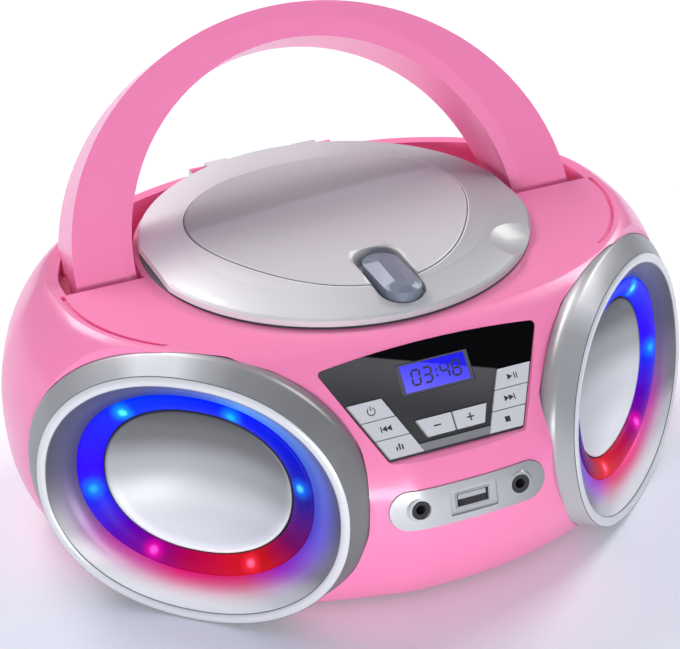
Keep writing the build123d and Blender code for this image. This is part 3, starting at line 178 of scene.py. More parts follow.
# The finish of the CAD nodes, by the start of their names; a later row wins where two match.
# The nodes that pieces of this scene replace need none.
FINISHES = [
    (pink, ("front_cabinet", "rear_cabinet", "handle")),
    (key_grey, ("key_",)),
    (board_green, ("light_board", "key_board", "socket_board", "main_board")),
    (rubber, ("speaker_surround", "rubber_feet")),
    (magnet, ("speaker_magnet",)),
    (bright, ("antenna",)),
    (lid_silver, ("lid",)),
    (window_grey, ("lid_window",)),
    (steel, ("speaker_frame", "handle_pins", "lid_hinge_pin", "case_screws", "guide_rails", "spindle_motor",
             "sled_motor", "usb_socket", "battery_contacts", "transformer")),
    (black_dull, ("base_plate", "battery_door", "disc_platter", "drive_chassis", "pickup_sled",
                  "audio_jacks", "ac_inlet")),
    (white_plastic, ("sled_gear", "motor_pinion", "lid_catch")),
    (well_shade_grey, ("disc_well",)),
    (black_gloss, ("display_panel",)),
    (frame_grey, ("display_screen",)),
    (socket_silver, ("socket_panel",)),
    (silver, ("key_trim",)),
]
for material, starts in FINISHES:
    for name in nodes:
        if name.startswith(starts):
            paint(name, material)


# Mesh helpers
def mesh_object(name, points, faces, materials, body, smooth=True):
    """A mesh piece that rides on a body. faces are (indices, material index)."""
    mesh = bpy.data.meshes.new(name)
    mesh.from_pydata([tuple(p) for p in points], [], [corners for corners, _ in faces])
    for material in materials:
        mesh.materials.append(material)
    for polygon, (_, material_index) in zip(mesh.polygons, faces):
        polygon.material_index = material_index
        polygon.use_smooth = smooth
    fixer = bmesh.new()
    fixer.from_mesh(mesh)
    bmesh.ops.recalc_face_normals(fixer, faces=fixer.faces)
    fixer.to_mesh(mesh)
    fixer.free()
    mesh.update()
    obj = bpy.data.objects.new(name, mesh)
    bpy.context.scene.collection.objects.link(obj)
    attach(obj, body)
    return obj


def local_plane(origin, along, normal):
    """A 4 x 4 matrix that takes local millimetres (X along, Y up, Z outwards) to the part's frame."""
    x = Vector(along).normalized()
    z = Vector(normal).normalized()
    y = z.cross(x)
    rows = [[x[i] * MM, y[i] * MM, z[i] * MM, origin[i]] for i in range(3)]
    return Matrix(rows + [[0, 0, 0, 1]])


# Speakers
# The right one's lip plane: its middle, its turn to the side and its tilt upwards
SPEAKER = (89.5, -73.5, 51.9)
SPEAKER_TURN = math.radians(43.1)
SPEAKER_TILT = math.radians(6.95)
OVAL_EXPONENT = 2.15
OVAL_STEPS = 144


def speaker_matrix(side):
    """The lip plane of one bezel, with X to the right as seen from the front and Y up."""
    normal = (
        side * math.sin(SPEAKER_TURN) * math.cos(SPEAKER_TILT),
        -math.cos(SPEAKER_TURN) * math.cos(SPEAKER_TILT),
        math.sin(SPEAKER_TILT),
    )
    along = (math.cos(SPEAKER_TURN), side * math.sin(SPEAKER_TURN), 0)
    return local_plane(at(side * SPEAKER[0], SPEAKER[1], SPEAKER[2]), along, normal)


def oval_point(a, b, angle):
    """A point of the rounded oval at a parameter angle."""
    c, s = math.cos(angle), math.sin(angle)
    x = a * math.copysign(abs(c) ** (2 / OVAL_EXPONENT), c)
    y = b * math.copysign(abs(s) ** (2 / OVAL_EXPONENT), s)
    return x, y


def turned_ovals(name, side, profile, materials):
    """A closed ring or dish made of ovals beside each other, from the rows of its profile."""
    matrix = speaker_matrix(side)
    points = []
    faces = []
    for a, b, height, shift_share, _ in profile:
        shift_x = side * LIP_SHIFT[0] * shift_share
        shift_y = LIP_SHIFT[1] * shift_share
        for i in range(OVAL_STEPS):
            x, y = oval_point(a, b, 2 * math.pi * i / OVAL_STEPS)
            points.append(matrix @ Vector((x + shift_x, y + shift_y, height)))
    for k, (*_, material_index) in enumerate(profile):
        start = k * OVAL_STEPS
        after = (k + 1) % len(profile) * OVAL_STEPS
        for i in range(OVAL_STEPS):
            j = (i + 1) % OVAL_STEPS
            faces.append(((start + i, start + j, after + j, after + i), material_index))
    return mesh_object(name, points, faces, materials, "cabinet")


# The light's colour round the ring, by angle as seen on the left speaker, anticlockwise from the right.
# The right speaker is its mirror image.
RING_COLORS = [
    (-180, (0.03, 0.0, 0.92)),
    (-163, (0.01, 0.02, 0.9)),
    (-142, (0.09, 0.0, 0.45)),
    (-120, (0.22, 0.0, 0.22)),
    (-96, (0.42, 0.0, 0.07)),
    (-62, (0.6, 0.005, 0.02)),
    (-42, (0.5, 0.005, 0.01)),
    (-24, (0.16, 0.0, 0.1)),
    (0, (0.02, 0.01, 0.28)),
    (25, (0.0, 0.005, 0.6)),
    (60, (0.0, 0.01, 0.95)),
    (130, (0.0, 0.03, 1.0)),
    (180, (0.03, 0.0, 0.92)),
]
# The lamps behind it: angle, halo colour and core colour.
SPOTS = [
    (130, (0.0, 0.35, 1.0), (0.1, 1.0, 0.7)),
    (71, (0.0, 0.25, 1.0), (0.0, 0.5, 1.0)),
    (10, (0.0, 0.15, 1.0), (0.1, 0.65, 1.0)),
    (-60, (0.95, 0.02, 0.05), (1.0, 0.15, 0.3)),
    (-112, (0.8, 0.0, 0.4), (1.0, 0.08, 0.8)),
    (-166, (0.0, 0.2, 1.0), (0.02, 0.4, 1.0)),
]
# The painted glow of its light on the funnel, with its strength.
PAINTED_GLOW_COLORS = [
    (-180, (0.05, 0.0, 0.5), 0.15),
    (-160, (0.2, 0.0, 0.4), 0.3),
    (-140, (0.45, 0.0, 0.3), 0.8),
    (-100, (0.65, 0.0, 0.15), 1.0),
    (-60, (0.6, 0.0, 0.12), 0.95),
    (-38, (0.3, 0.0, 0.5), 0.9),
    (-15, (0.1, 0.05, 0.8), 0.7),
    (20, (0.08, 0.2, 0.9), 0.6),
    (60, (0.1, 0.4, 1.0), 0.7),
    (85, (0.05, 0.2, 1.0), 0.4),
    (120, (0.0, 0.1, 1.0), 0.12),
    (180, (0.05, 0.0, 0.5), 0.15),
]
# The grey of the slope outside the lip, by the same angles on each side: a painted highlight near the top
# and painted shade round the rest
SLOPE_SHADE_STOPS = {
    "left": [
        (-180, 0.26), (-150, 0.3), (-110, 0.22), (-60, 0.2), (0, 0.2), (40, 0.22), (70, 0.3), (84, 0.5),
        (96, 0.85), (114, 0.85), (124, 0.55), (145, 0.4), (180, 0.26),
    ],
    "right": [
        (-180, 0.26), (-90, 0.3), (-60, 0.38), (-20, 0.48), (20, 0.36), (45, 0.42), (60, 0.7), (80, 0.4),
        (110, 0.36), (180, 0.26),
    ],
}
# Painted shade of the funnel inside the lip and of the cone, by height on the speaker: light low down, dark
# higher up
FUNNEL_SHADE_GREYS = [(-46, 0.9), (-36, 0.62), (-24, 0.22), (0, 0.085), (46, 0.09)]
CONE_SHADE_GREYS = [(-28, 1.0), (-14, 0.78), (0, 0.4), (14, 0.16), (28, 0.08)]
# Half width and half height of the ring's outer edge, and of the line on which the lamps' spots lie
RING_OUTER = (46.4, 35.1)
RING_MIDDLE = (41.4, 31.2)
# The spots' height over the lip plane
SPOT_DEPTH = -6.0
# Where a lamp's halo and core start to fade and where they end, in millimetres from the lamp
HALO_FADE = (0.0, 6.2)
CORE_FADE = (0.4, 2.5)
# Where the painted glow on the funnel starts to fade and where it ends, as a share of the ring's outer edge
PAINTED_GLOW_FADE = (0.96, 1.34)
PAINTED_GLOW_STRENGTH = 0.5
# How far the ring's own paint is darkened, so that its light shows pure
RING_DARKENING = 0.92
BLACK = (0.0, 0.0, 0.0)


class ColorNodes:
    """The nodes that give colours at a point beside a speaker, in one material's tree."""

    def __init__(self, material, side):
        self.tree = material.node_tree
        self.side = side
        self.matrix = speaker_matrix(side)
        self.coords = self.tree.nodes.new("ShaderNodeTexCoord").outputs["Object"]
        axes = self.matrix.to_3x3()
        shifted = self.vector("SUBTRACT", self.coords, self.matrix.translation).outputs["Vector"]
        across = (axes @ Vector((-side, 0, 0))).normalized()
        up = (axes @ Vector((0, 1, 0))).normalized()
        self.x = self.vector("DOT_PRODUCT", shifted, across).outputs["Value"]
        self.y = self.vector("DOT_PRODUCT", shifted, up).outputs["Value"]

    def feed(self, socket, value):
        """Give an input a number, a colour or a link."""
        if isinstance(value, (int, float)):
            socket.default_value = value
        elif isinstance(value, tuple):
            socket.default_value = (*value, 1)
        else:
            self.tree.links.new(value, socket)

    def give(self, values):
        """Feed inputs of the material's shader by their names."""
        shader = self.tree.nodes["Principled BSDF"]
        for name, value in values.items():
            self.feed(shader.inputs[name], value)

    def vector(self, operation, first, second):
        """A vector node with a constant second input."""
        node = self.tree.nodes.new("ShaderNodeVectorMath")
        node.operation = operation
        self.tree.links.new(first, node.inputs[0])
        node.inputs[1].default_value = tuple(second)
        return node

    def number(self, operation, first, second=0.0):
        """The outcome of a number node."""
        node = self.tree.nodes.new("ShaderNodeMath")
        node.operation = operation
        self.feed(node.inputs[0], first)
        self.feed(node.inputs[1], second)
        return node.outputs[0]

    def mix(self, factor, first, second):
        """A blend of two colours."""
        node = self.tree.nodes.new("ShaderNodeMix")
        node.data_type = "RGBA"
        # Inputs 6 and 7 and output 2 of this node are the ones for colours.
        for place, value in ((0, factor), (6, first), (7, second)):
            self.feed(node.inputs[place], value)
        return node.outputs[2]

    def fade(self, value, start, end):
        """1 at start, falling smoothly to 0 at end."""
        node = self.tree.nodes.new("ShaderNodeMapRange")
        node.interpolation_type = "SMOOTHERSTEP"
        node.inputs["From Min"].default_value = start
        node.inputs["From Max"].default_value = end
        node.inputs["To Min"].default_value = 1.0
        node.inputs["To Max"].default_value = 0.0
        self.tree.links.new(value, node.inputs["Value"])
        return node.outputs["Result"]

    def by_angle(self, stops):
        """The colour and the strength round the speaker: stops are (degrees, colour, strength)."""
        turn = self.number("ARCTAN2", self.y, self.x)
        place = self.number("ADD", self.number("MULTIPLY", turn, 0.5 / math.pi), 0.5)
        ramp = self.tree.nodes.new("ShaderNodeValToRGB")
        set_stops(ramp, [(degrees / 360 + 0.5, (*color, strength)) for degrees, color, strength in stops])
        self.tree.links.new(place, ramp.inputs["Fac"])
        return ramp.outputs["Color"], ramp.outputs["Alpha"]

    def by_height(self, greys):
        """A grey by height on the speaker: greys are (millimetres, level)."""
        upward = self.matrix.to_3x3() @ Vector((0, 1, 0))
        stops = [(height, grey(level)) for height, level in greys]
        return color_along(self.tree, self.matrix.translation, upward, stops)

    def near_lamp(self, degrees, reach):
        """1 at one lamp, falling to 0: reach is where the fall starts and ends, in millimetres."""
        x, y = oval_point(*RING_MIDDLE, math.radians(degrees))
        spot = self.matrix @ Vector((-self.side * x, y, SPOT_DEPTH))
        distance = self.vector("DISTANCE", self.coords, spot).outputs["Value"]
        return self.fade(distance, reach[0] * MM, reach[1] * MM)

    def oval_radius(self):
        """How far out a point lies: 1 on the ring's outer edge."""
        terms = []
        for value, half in ((self.x, RING_OUTER[0]), (self.y, RING_OUTER[1])):
            share = self.number("MULTIPLY", self.number("ABSOLUTE", value), 1 / (half * MM))
            terms.append(self.number("POWER", share, OVAL_EXPONENT))
        return self.number("POWER", self.number("ADD", *terms), 1 / OVAL_EXPONENT)


def light_material(side_name):
    """The lit ring: blue at the top and sides, violet lower down, red at the bottom, with bright spots."""
    material, _, _ = new_material(f"light ring {side_name}")
    maker = ColorNodes(material, SIDES[side_name])
    color, _ = maker.by_angle([(*stop, 1) for stop in RING_COLORS])
    for degrees, halo, core in SPOTS:
        color = maker.mix(maker.near_lamp(degrees, HALO_FADE), color, halo)
        color = maker.mix(maker.near_lamp(degrees, CORE_FADE), color, core)
    dark = maker.mix(RING_DARKENING, color, BLACK)
    maker.give({"Base Color": dark, "Roughness": 0.4, "Specular IOR Level": 0.08})
    maker.give({"Emission Color": color, "Emission Strength": 1.0})
    return material


def slope_material(side_name):
    """Silver paint with a painted highlight near the top and painted shade round the rest."""
    material, _, _ = new_material(f"slope {side_name}")
    maker = ColorNodes(material, SIDES[side_name])
    color, _ = maker.by_angle([(degrees, grey(level), 1) for degrees, level in SLOPE_SHADE_STOPS[side_name]])
    maker.give({"Base Color": color, "Roughness": 0.35, "Metallic": 0.2})
    return material


def funnel_material(side_name):
    """Silver paint with painted shade by height, and a painted glow in the ring's colour near the ring."""
    material, _, _ = new_material(f"funnel {side_name}")
    maker = ColorNodes(material, SIDES[side_name])
    near = maker.fade(maker.oval_radius(), *PAINTED_GLOW_FADE)
    lit, strength = maker.by_angle(PAINTED_GLOW_COLORS)
    share = maker.number("MULTIPLY", near, strength)
    # Painted shade by height, giving way to the ring's colour near the ring
    color = maker.mix(share, maker.by_height(FUNNEL_SHADE_GREYS), lit)
    # Painted glow: the funnel gives off the ring's colour near the ring, though it is no lamp
    glow = maker.mix(share, BLACK, lit)
    maker.give({"Base Color": color, "Roughness": 0.4, "Metallic": 0.2})
    maker.give({"Emission Color": glow, "Emission Strength": PAINTED_GLOW_STRENGTH})
    return material


def cone_material(side_name):
    """The cone's metal with painted shade: light at the bottom, dark at the top."""
    material = plain(f"cone {side_name}", grey(0.5), 0.5, metallic=0.1)
    maker = ColorNodes(material, SIDES[side_name])
    maker.give({"Base Color": maker.by_height(CONE_SHADE_GREYS)})
    return material


# How far the lip's middle is moved from the ring's middle, on the right speaker; X is mirrored on the left.
LIP_SHIFT = (-0.6, -3.9)
# Rows of the profiles: half width, half height, height over the lip plane, share of the lip's shift and
# the material of the band after the row.
SLOPE, LIP, FUNNEL, EDGE = range(4)
BEZEL_PROFILE = [
    (66.6, 50.4, -12.0, 0, SLOPE),
    (66.6, 50.4, -6.7, 0, SLOPE),
    (65.8, 49.8, -5.6, 0, SLOPE),
    (61.2, 47.9, -0.9, 1, EDGE),
    (60.9, 47.6, -0.6, 1, LIP),
    (60.2, 46.9, -0.1, 1, LIP),
    (59.2, 45.9, 0.1, 1, LIP),
    (58.2, 44.9, 0.0, 1, LIP),
    (57.5, 44.2, -0.5, 1, EDGE),
    (57.2, 43.9, -0.8, 1, FUNNEL),
    (52.0, 39.7, -3.2, 0.5, FUNNEL),
    (*RING_OUTER, -5.2, 0, FUNNEL),
    (*RING_OUTER, -9.9, 0, FUNNEL),
    (44.8, 33.5, -9.9, 0, FUNNEL),
    (44.8, 33.5, -12.0, 0, FUNNEL),
]
RING_PROFILE = [
    (46.3, 35.0, -9.8, 0, 0),
    (46.3, 35.0, -5.3, 0, 0),
    (44.6, 33.7, -5.0, 0, 0),
    (42.4, 32.0, -5.3, 0, 0),
    (39.8, 30.1, -6.3, 0, 0),
    (37.9, 28.7, -7.6, 0, 0),
    (37.3, 28.2, -8.4, 0, 0),
    (37.3, 28.2, -9.8, 0, 0),
]
# The cone: half width and half height of its rim and of its bowl, the rim's height over the lip plane,
# the step down to the bowl, the bowl's depth and the wall
CONE_RIM = (36.5, 27.4)
CONE_BOWL = (35.2, 26.2)
CONE_TOP = -8.45
CONE_STEP = 0.15
CONE_DEEP = 13.4
CONE_WALL = 0.8
BOWL_ROWS = 14
# Two tiny ovals close the bowl at its middle.
MIDDLE_SHARES = [0.006, 0.0002]


def dish_rows(drop):
    """Rows of the cone's bowl from its rim to its middle, drop below the face."""
    rows = [(*CONE_RIM, CONE_TOP - drop, 0, 0)]
    for share in [1 - i / BOWL_ROWS for i in range(BOWL_ROWS)] + MIDDLE_SHARES:
        height = CONE_TOP - CONE_STEP - drop - CONE_DEEP * (1 - share ** 2)
        rows.append((CONE_BOWL[0] * share, CONE_BOWL[1] * share, height, 0, 0))
    return rows


for side_name, side in SIDES.items():
    bezel_materials = [slope_material(side_name), lip_white, funnel_material(side_name), edge_grey]
    bezel = turned_ovals(f"bezel_{side_name}", side, BEZEL_PROFILE, bezel_materials)
    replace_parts(bezel, f"speaker_bezel_{side_name}")
    ring_materials = [light_material(side_name)]
    ring = turned_ovals(f"lit_ring_{side_name}", side, RING_PROFILE, ring_materials)
    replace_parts(ring, f"light_ring_{side_name}")
    cone_rows = dish_rows(0) + dish_rows(CONE_WALL)[::-1]
    cone = turned_ovals(f"cone_{side_name}", side, cone_rows, [cone_material(side_name)])
    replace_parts(cone, f"speaker_cone_{side_name}")


# The open button
# The cap's middle and half sizes, the heights of its bottom and its edge, and the crown's rise over it
BUTTON = (0.6, -53.8)
BUTTON_HALF_WIDTH = 7.15
BUTTON_HALF_LENGTH = 16.5
BUTTON_BOTTOM = 105.4
BUTTON_EDGE = 109.6
BUTTON_CROWN = 2.0
EDGE_POINTS = 30
# Loops of facet corners inside the edge: half width, half length, number of corners
FACET_LOOPS = ((4.9, 13.6, 13), (2.4, 9.6, 7))
# How far a facet's corner may be off: across and along either way, and between two heights
SHAKE_ACROSS = 0.7
SHAKE_ALONG = 1.2
SHAKE_UP = (-0.16, 0.12)
# Corners farther out than this share are the edge, which stays even.
EDGE_SHARE = 0.98
# The stem's two far corners
STEM = ((-2.5, -68.0, 95.4), (2.5, -63.9, 105.5))


def racetrack(half_width, half_length, steps):
    """Points round a long oval with half-round ends, long along Y."""
    points = []
    reach = half_length - half_width
    for i in range(steps):
        angle = 2 * math.pi * i / steps
        # The tiny turn puts the points on the X axis at a definite end.
        end = math.copysign(reach, math.sin(angle + 1e-9))
        points.append((half_width * math.cos(angle), half_width * math.sin(angle) + end))
    return points


def crystal_button():
    """A faceted cap on a plain body with its stem."""
    chance = random.Random(7)
    edge = racetrack(BUTTON_HALF_WIDTH, BUTTON_HALF_LENGTH, EDGE_POINTS)
    inner = []
    for half_width, half_length, count in FACET_LOOPS:
        for x, y in racetrack(half_width, half_length, count):
            moved_x = x + chance.uniform(-SHAKE_ACROSS, SHAKE_ACROSS)
            moved_y = y + chance.uniform(-SHAKE_ALONG, SHAKE_ALONG)
            inner.append((moved_x, moved_y))
    corners = [Vector(p) for p in edge + inner]
    # Mode 1 keeps the triangles inside the edge.
    flat, _, facets, *_ = delaunay_2d_cdt(corners, [], [tuple(range(len(edge)))], 1, 1e-6)
    points = []
    for x, y in flat:
        along = max(0.0, abs(y) - (BUTTON_HALF_LENGTH - BUTTON_HALF_WIDTH))
        share = min(1.0, math.hypot(x, along) / BUTTON_HALF_WIDTH)
        rise = BUTTON_CROWN * math.sqrt(max(0.0, 1 - share ** 2))
        shake = chance.uniform(*SHAKE_UP) if share < EDGE_SHARE else 0.0
        points.append((x, y, BUTTON_EDGE + rise + shake))
    faces = [(tuple(facet), 0) for facet in facets]
    start = len(points)
    points += [(x, y, BUTTON_BOTTOM) for x, y in edge]
    for i in range(len(edge)):
        j = (i + 1) % len(edge)
        faces.append(((i, j, start + j, start + i), 0))
    faces.append((tuple(start + i for i in reversed(range(len(edge)))), 0))
    cap = [at(BUTTON[0] + x, BUTTON[1] + y, z) for x, y, z in points]
    start = len(cap)
    for ends in [(x, y, z) for x in (0, 1) for y in (0, 1) for z in (0, 1)]:
        cap.append(at(*(STEM[end][axis] for axis, end in enumerate(ends))))
    for quad in ((0, 1, 3, 2), (4, 6, 7, 5), (0, 4, 5, 1), (2, 3, 7, 6), (0, 2, 6, 4), (1, 5, 7, 3)):
        faces.append((tuple(start + i for i in quad), 0))
    return mesh_object("button_cap", cap, faces, [crystal], "open_button", smooth=False)


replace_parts(crystal_button(), "open_button")


# The window's rounded three-cornered face and the lines round it: the dark line is painted shade of the
# groove round the window, the light line a painted highlight on the groove's outer edge
RING_TOP = 108.2
WINDOW_RADIUS = 53.4
# The filler, silver like the lid, hides the round window of the solids; the scene's own lies on it.
FILLER_RADIUS = WINDOW_RADIUS + 6.4
# The crown starts this far above the ring and rises this much more to its middle.
CROWN_STEP = 0.3
CROWN_RISE = 1.2
# Outside the window the step fades away over this distance, and the ring falls by a slope and a curve.
STEP_FADE = 6
RING_FALL = 0.052
RING_CURVE = 0.0045
# Middle and half sizes of the recess for the open button
RECESS = (0.6, -51.5)
RECESS_HALF_WIDTH = 9.25
RECESS_HALF_LENGTH = 19.65
# How far the three corners reach out and the sides fall in from the mean radius
CORNER_SWING = 3.2
# How far a plate reaches down into the lid
PLATE_DROP = 0.3
# A line is only the rim of its plate, from this share of its radius outwards.
LINE_SHARE = 0.985
INNER_SHARES = (LINE_SHARE, 0.965, 0.94, 0.91, 0.87, 0.82, 0.75, 0.66, 0.55, 0.42, 0.28, 0.14)


def lobed(mean, swing, steps=150):
    """Points of a rounded three-cornered outline with one corner to the front."""
    points = []
    for i in range(steps):
        angle = 2 * math.pi * i / steps
        radius = mean + swing * math.cos(3 * (angle + math.pi / 2))
        points.append((radius * math.cos(angle), radius * math.sin(angle)))
    return points


def lid_surface(x, y):
    """The height of the lid's top at a point: the crown inside, the falling ring outside."""
    radius = math.hypot(x, y)
    if radius < WINDOW_RADIUS:
        return RING_TOP + CROWN_STEP + CROWN_RISE * (1 - (radius / WINDOW_RADIUS) ** 2)
    beyond = radius - WINDOW_RADIUS
    step = CROWN_STEP * max(0.0, 1 - beyond / STEP_FADE)
    return RING_TOP + step - RING_FALL * beyond - RING_CURVE * beyond ** 2


def in_recess(x, y):
    """Whether a point lies over the button's recess."""
    along = max(0.0, abs(y - RECESS[1]) - (RECESS_HALF_LENGTH - RECESS_HALF_WIDTH))
    return math.hypot(x - RECESS[0], along) < RECESS_HALF_WIDTH - 0.01


def lid_plate(name, material, outline, lift, inner_share=0.0):
    """A thin plate that follows the lid's top, cut out round the button's recess.

    With an inner share it is only a rim: what lies nearer the middle than that share is left out.
    """
    recess_edge = racetrack(RECESS_HALF_WIDTH, RECESS_HALF_LENGTH, steps=60)
    hole = [(RECESS[0] + x, RECESS[1] + y) for x, y in recess_edge]
    inner = [(x * share, y * share) for share in INNER_SHARES for x, y in outline] + [(0.0, 0.0)]
    inner = [p for p in inner if not in_recess(*p)]
    start = len(outline)
    edges = [(i, (i + 1) % start) for i in range(start)]
    edges += [(start + i, start + (i + 1) % len(hole)) for i in range(len(hole))]
    corners = [Vector(p) for p in outline + hole + inner]
    # Mode 0 keeps every triangle; the ones outside the plate are left out below.
    flat, _, triangles, *_ = delaunay_2d_cdt(corners, edges, [], 0, 1e-5)
    limit = [math.hypot(*p) for p in outline]

    def kept(face):
        """Whether a triangle's middle lies in the plate."""
        x = sum(flat[i][0] for i in face) / len(face)
        y = sum(flat[i][1] for i in face) / len(face)
        turn = math.atan2(y, x) % (2 * math.pi)
        reach = limit[round(turn / (2 * math.pi) * len(outline)) % len(outline)]
        return inner_share * reach < math.hypot(x, y) < reach and not in_recess(x, y)

    tops = [tuple(face) for face in triangles if kept(face)]
    count = len(flat)
    points = [at(x, y, lid_surface(x, y) + lift) for x, y in flat]
    points += [at(x, y, lid_surface(x, y) - PLATE_DROP) for x, y in flat]
    faces = [(face, 0) for face in tops]
    faces += [(tuple(count + i for i in reversed(face)), 0) for face in tops]
    sides = [(i, j) for face in tops for i, j in zip(face, face[1:] + face[:1])]
    known = set(sides)
    for i, j in sides:
        if (j, i) not in known:
            faces.append(((j, i, count + i, count + j), 0))
    return mesh_object(name, points, faces, [material], "lid", smooth=False)


groove_highlight_outline = lobed(54.9, CORNER_SWING)
groove_shade_outline = lobed(54.4, CORNER_SWING)
face_outline = lobed(54.0, CORNER_SWING)
lid_plate("lid_filler", lid_silver, lobed(FILLER_RADIUS, 0.0), lift=0.03)
lid_plate("window_light_line", groove_highlight_line, groove_highlight_outline, 0.08, LINE_SHARE)
lid_plate("window_dark_line", groove_shade_line, groove_shade_outline, 0.16, LINE_SHARE)
window_face = lid_plate("window_face", window_grey, face_outline, lift=0.36)
for polygon in window_face.data.polygons:
    polygon.use_smooth = polygon.normal.z > 0.5


# The display
DISPLAY_MIDDLE = (0, -97.3, 80.95)
DISPLAY_LEAN = math.radians(41.3)
DISPLAY_NORMAL = (0, -math.cos(DISPLAY_LEAN), math.sin(DISPLAY_LEAN))
display = local_plane(at(*DISPLAY_MIDDLE), (1, 0, 0), DISPLAY_NORMAL)
# A painted sheen, a painted reflection, that crosses the panel and the screen: black above its edge and
# grey below it
SHEEN_START = display @ Vector((-20, 19, 0))
SHEEN_WAY = display.to_3x3() @ Vector((-0.33, -1, 0))
PANEL_SHEEN = [
    (-30, grey(0.001)),
    (-0.25, grey(0.001)),
    (0.25, grey(0.09)),
    (18, grey(0.05)),
    (36, grey(0.07)),
]
SCREEN_SHEEN = [
    (-10, (0.004, 0.002, 0.6)),
    (-0.25, (0.01, 0.005, 0.85)),
    (0.25, (0.07, 0.06, 0.93)),
    (14, (0.16, 0.14, 0.97)),
]
# The painted reflection on the black panel and on the lit screen
shade_along(black_gloss, SHEEN_START, SHEEN_WAY, PANEL_SHEEN)
screen_blue = plain("screen blue", (0.01, 0.01, 0.05), 0.4, specular=0.1)
glow_along(screen_blue, SHEEN_START, SHEEN_WAY, SCREEN_SHEEN)


def flat_piece(name, matrix, outlines, low, high, material, body):
    """Thin raised marks: each outline is a list of corners, made into a plate between two heights."""
    points = []
    faces = []
    for corners in outlines:
        start = len(points)
        count = len(corners)
        points += [matrix @ Vector((x, y, low)) for x, y in corners]
        points += [matrix @ Vector((x, y, high)) for x, y in corners]
        faces.append((tuple(range(start + count, start + 2 * count)), 0))
        faces.append((tuple(reversed(range(start, start + count))), 0))
        for i in range(count):
            j = (i + 1) % count
            faces.append(((start + i, start + j, start + count + j, start + count + i), 0))
    return mesh_object(name, points, faces, [material], body, smooth=False)


def rectangle(x0, x1, y0, y1):
    """Corners of an upright rectangle."""
    return [(x0, y0), (x1, y0), (x1, y1), (x0, y1)]


def arc_band(x, y, inner, outer, start, end, steps=18):
    """Quads of a ring's arc, angles in degrees."""
    quads = []
    for i in range(steps):
        a = math.radians(start + (end - start) * i / steps)
        b = math.radians(start + (end - start) * (i + 1) / steps)
        quads.append(
            [
                (x + inner * math.cos(a), y + inner * math.sin(a)),
                (x + outer * math.cos(a), y + outer * math.sin(a)),
                (x + outer * math.cos(b), y + outer * math.sin(b)),
                (x + inner * math.cos(b), y + inner * math.sin(b)),
            ]
        )
    return quads


# Heights over the display's plane: the solid screen, the lit area on it and the digits on that
SCREEN_TOP = -0.35
SCREEN_LIGHT_TOP = SCREEN_TOP + 0.05
DIGITS_TOP = SCREEN_TOP + 0.12
SCREEN_AREA = rectangle(-12.4, 12.6, 3.9, 13.9)
flat_piece(
    "screen_light", display, [SCREEN_AREA], SCREEN_TOP - 0.1, SCREEN_LIGHT_TOP, screen_blue,
    "cabinet",
)

# Digits made of seven slim bars, as on any clock display
SEGMENTS = {"0": "abcdef", "1": "bc", "2": "abged", "3": "abgcd", "4": "fgbc", "5": "afgcd", "6": "afgedc",
            "7": "abc", "8": "abcdefg", "9": "abcdfg"}


def digit_bars(text, left, base, width, height, gap, slant, thick):
    """Outlines of the lit bars of a row of digits."""
    outlines = []
    x = left
    half_bar = thick / 2
    for mark in text:
        if mark == ":":
            for level in (0.3, 0.68):
                cx = x + thick * 0.7 + slant * height * level
                cy = base + height * level
                outlines.append(rectangle(cx - half_bar, cx + half_bar, cy - half_bar, cy + half_bar))
            x += thick + gap
            continue
        half = height / 2
        bars = {
            "a": (0.0, height, width, height), "d": (0.0, 0.0, width, 0.0), "g": (0.0, half, width, half),
            "f": (0.0, half, 0.0, height), "b": (width, half, width, height),
            "e": (0.0, 0.0, 0.0, half), "c": (width, 0.0, width, half),
        }
        for letter in SEGMENTS[mark]:
            x0, y0, x1, y1 = bars[letter]
            if y0 == y1:
                corners = rectangle(x0 + thick * 0.4, x1 - thick * 0.4, y0 - half_bar, y0 + half_bar)
            else:
                corners = rectangle(x0 - half_bar, x0 + half_bar, y0 + thick * 0.4, y1 - thick * 0.4)
            outlines.append([(x + cx + slant * cy, base + cy) for cx, cy in corners])
        x += width + gap
    return outlines


clock = digit_bars("03:48", left=-9.0, base=6.1, width=3.0, height=5.4, gap=1.5, slant=0.08, thick=0.75)
flat_piece(
    "screen_digits", display, clock, SCREEN_LIGHT_TOP, DIGITS_TOP, ink, "cabinet",
)


# Marks on the keys, each on its own key
KEY_TOP = 1.1
# How far a mark reaches into its key and stands over it
MARK_SINK = 0.02
MARK_RISE = 0.05
KEY_PITCH = 7.3
KEY_LENGTH = 7.0
KEY_HALF_WIDTH = 6.5
# Top of the first column key and bottom of the last one, up the slope
COLUMN_TOP = 4.3
COLUMN_BOTTOM = -17.4
# How far the column keys stay inside the panel's edge
COLUMN_INSET = 0.7
# The panel is this half width at its lower edge and widens evenly up its slope.
PANEL_LOW = -18.1
PANEL_LENGTH = 36.7
PANEL_LOW_HALF_WIDTH = 26.2
PANEL_WIDENS = 16.7
# Half the usual height of a mark
MARK_HALF = 1.1


def panel_half_width(t):
    """Half the panel's width at height t up its slope, in millimetres."""
    return PANEL_LOW_HALF_WIDTH + PANEL_WIDENS * (t - PANEL_LOW) / PANEL_LENGTH


def key_middle(side, row):
    """The middle of a column key; row 0 is the top one and row 2 the longer one at the bottom."""
    high = COLUMN_TOP - KEY_PITCH * row
    low = COLUMN_BOTTOM if row == 2 else high - KEY_LENGTH
    t = (high + low) / 2
    return side * (panel_half_width(t) - COLUMN_INSET - KEY_HALF_WIDTH), t


def bar(middle, left, right, low=-MARK_HALF, high=MARK_HALF):
    """An upright bar, given from the middle of its key."""
    x, y = middle
    return rectangle(x + left, x + right, y + low, y + high)


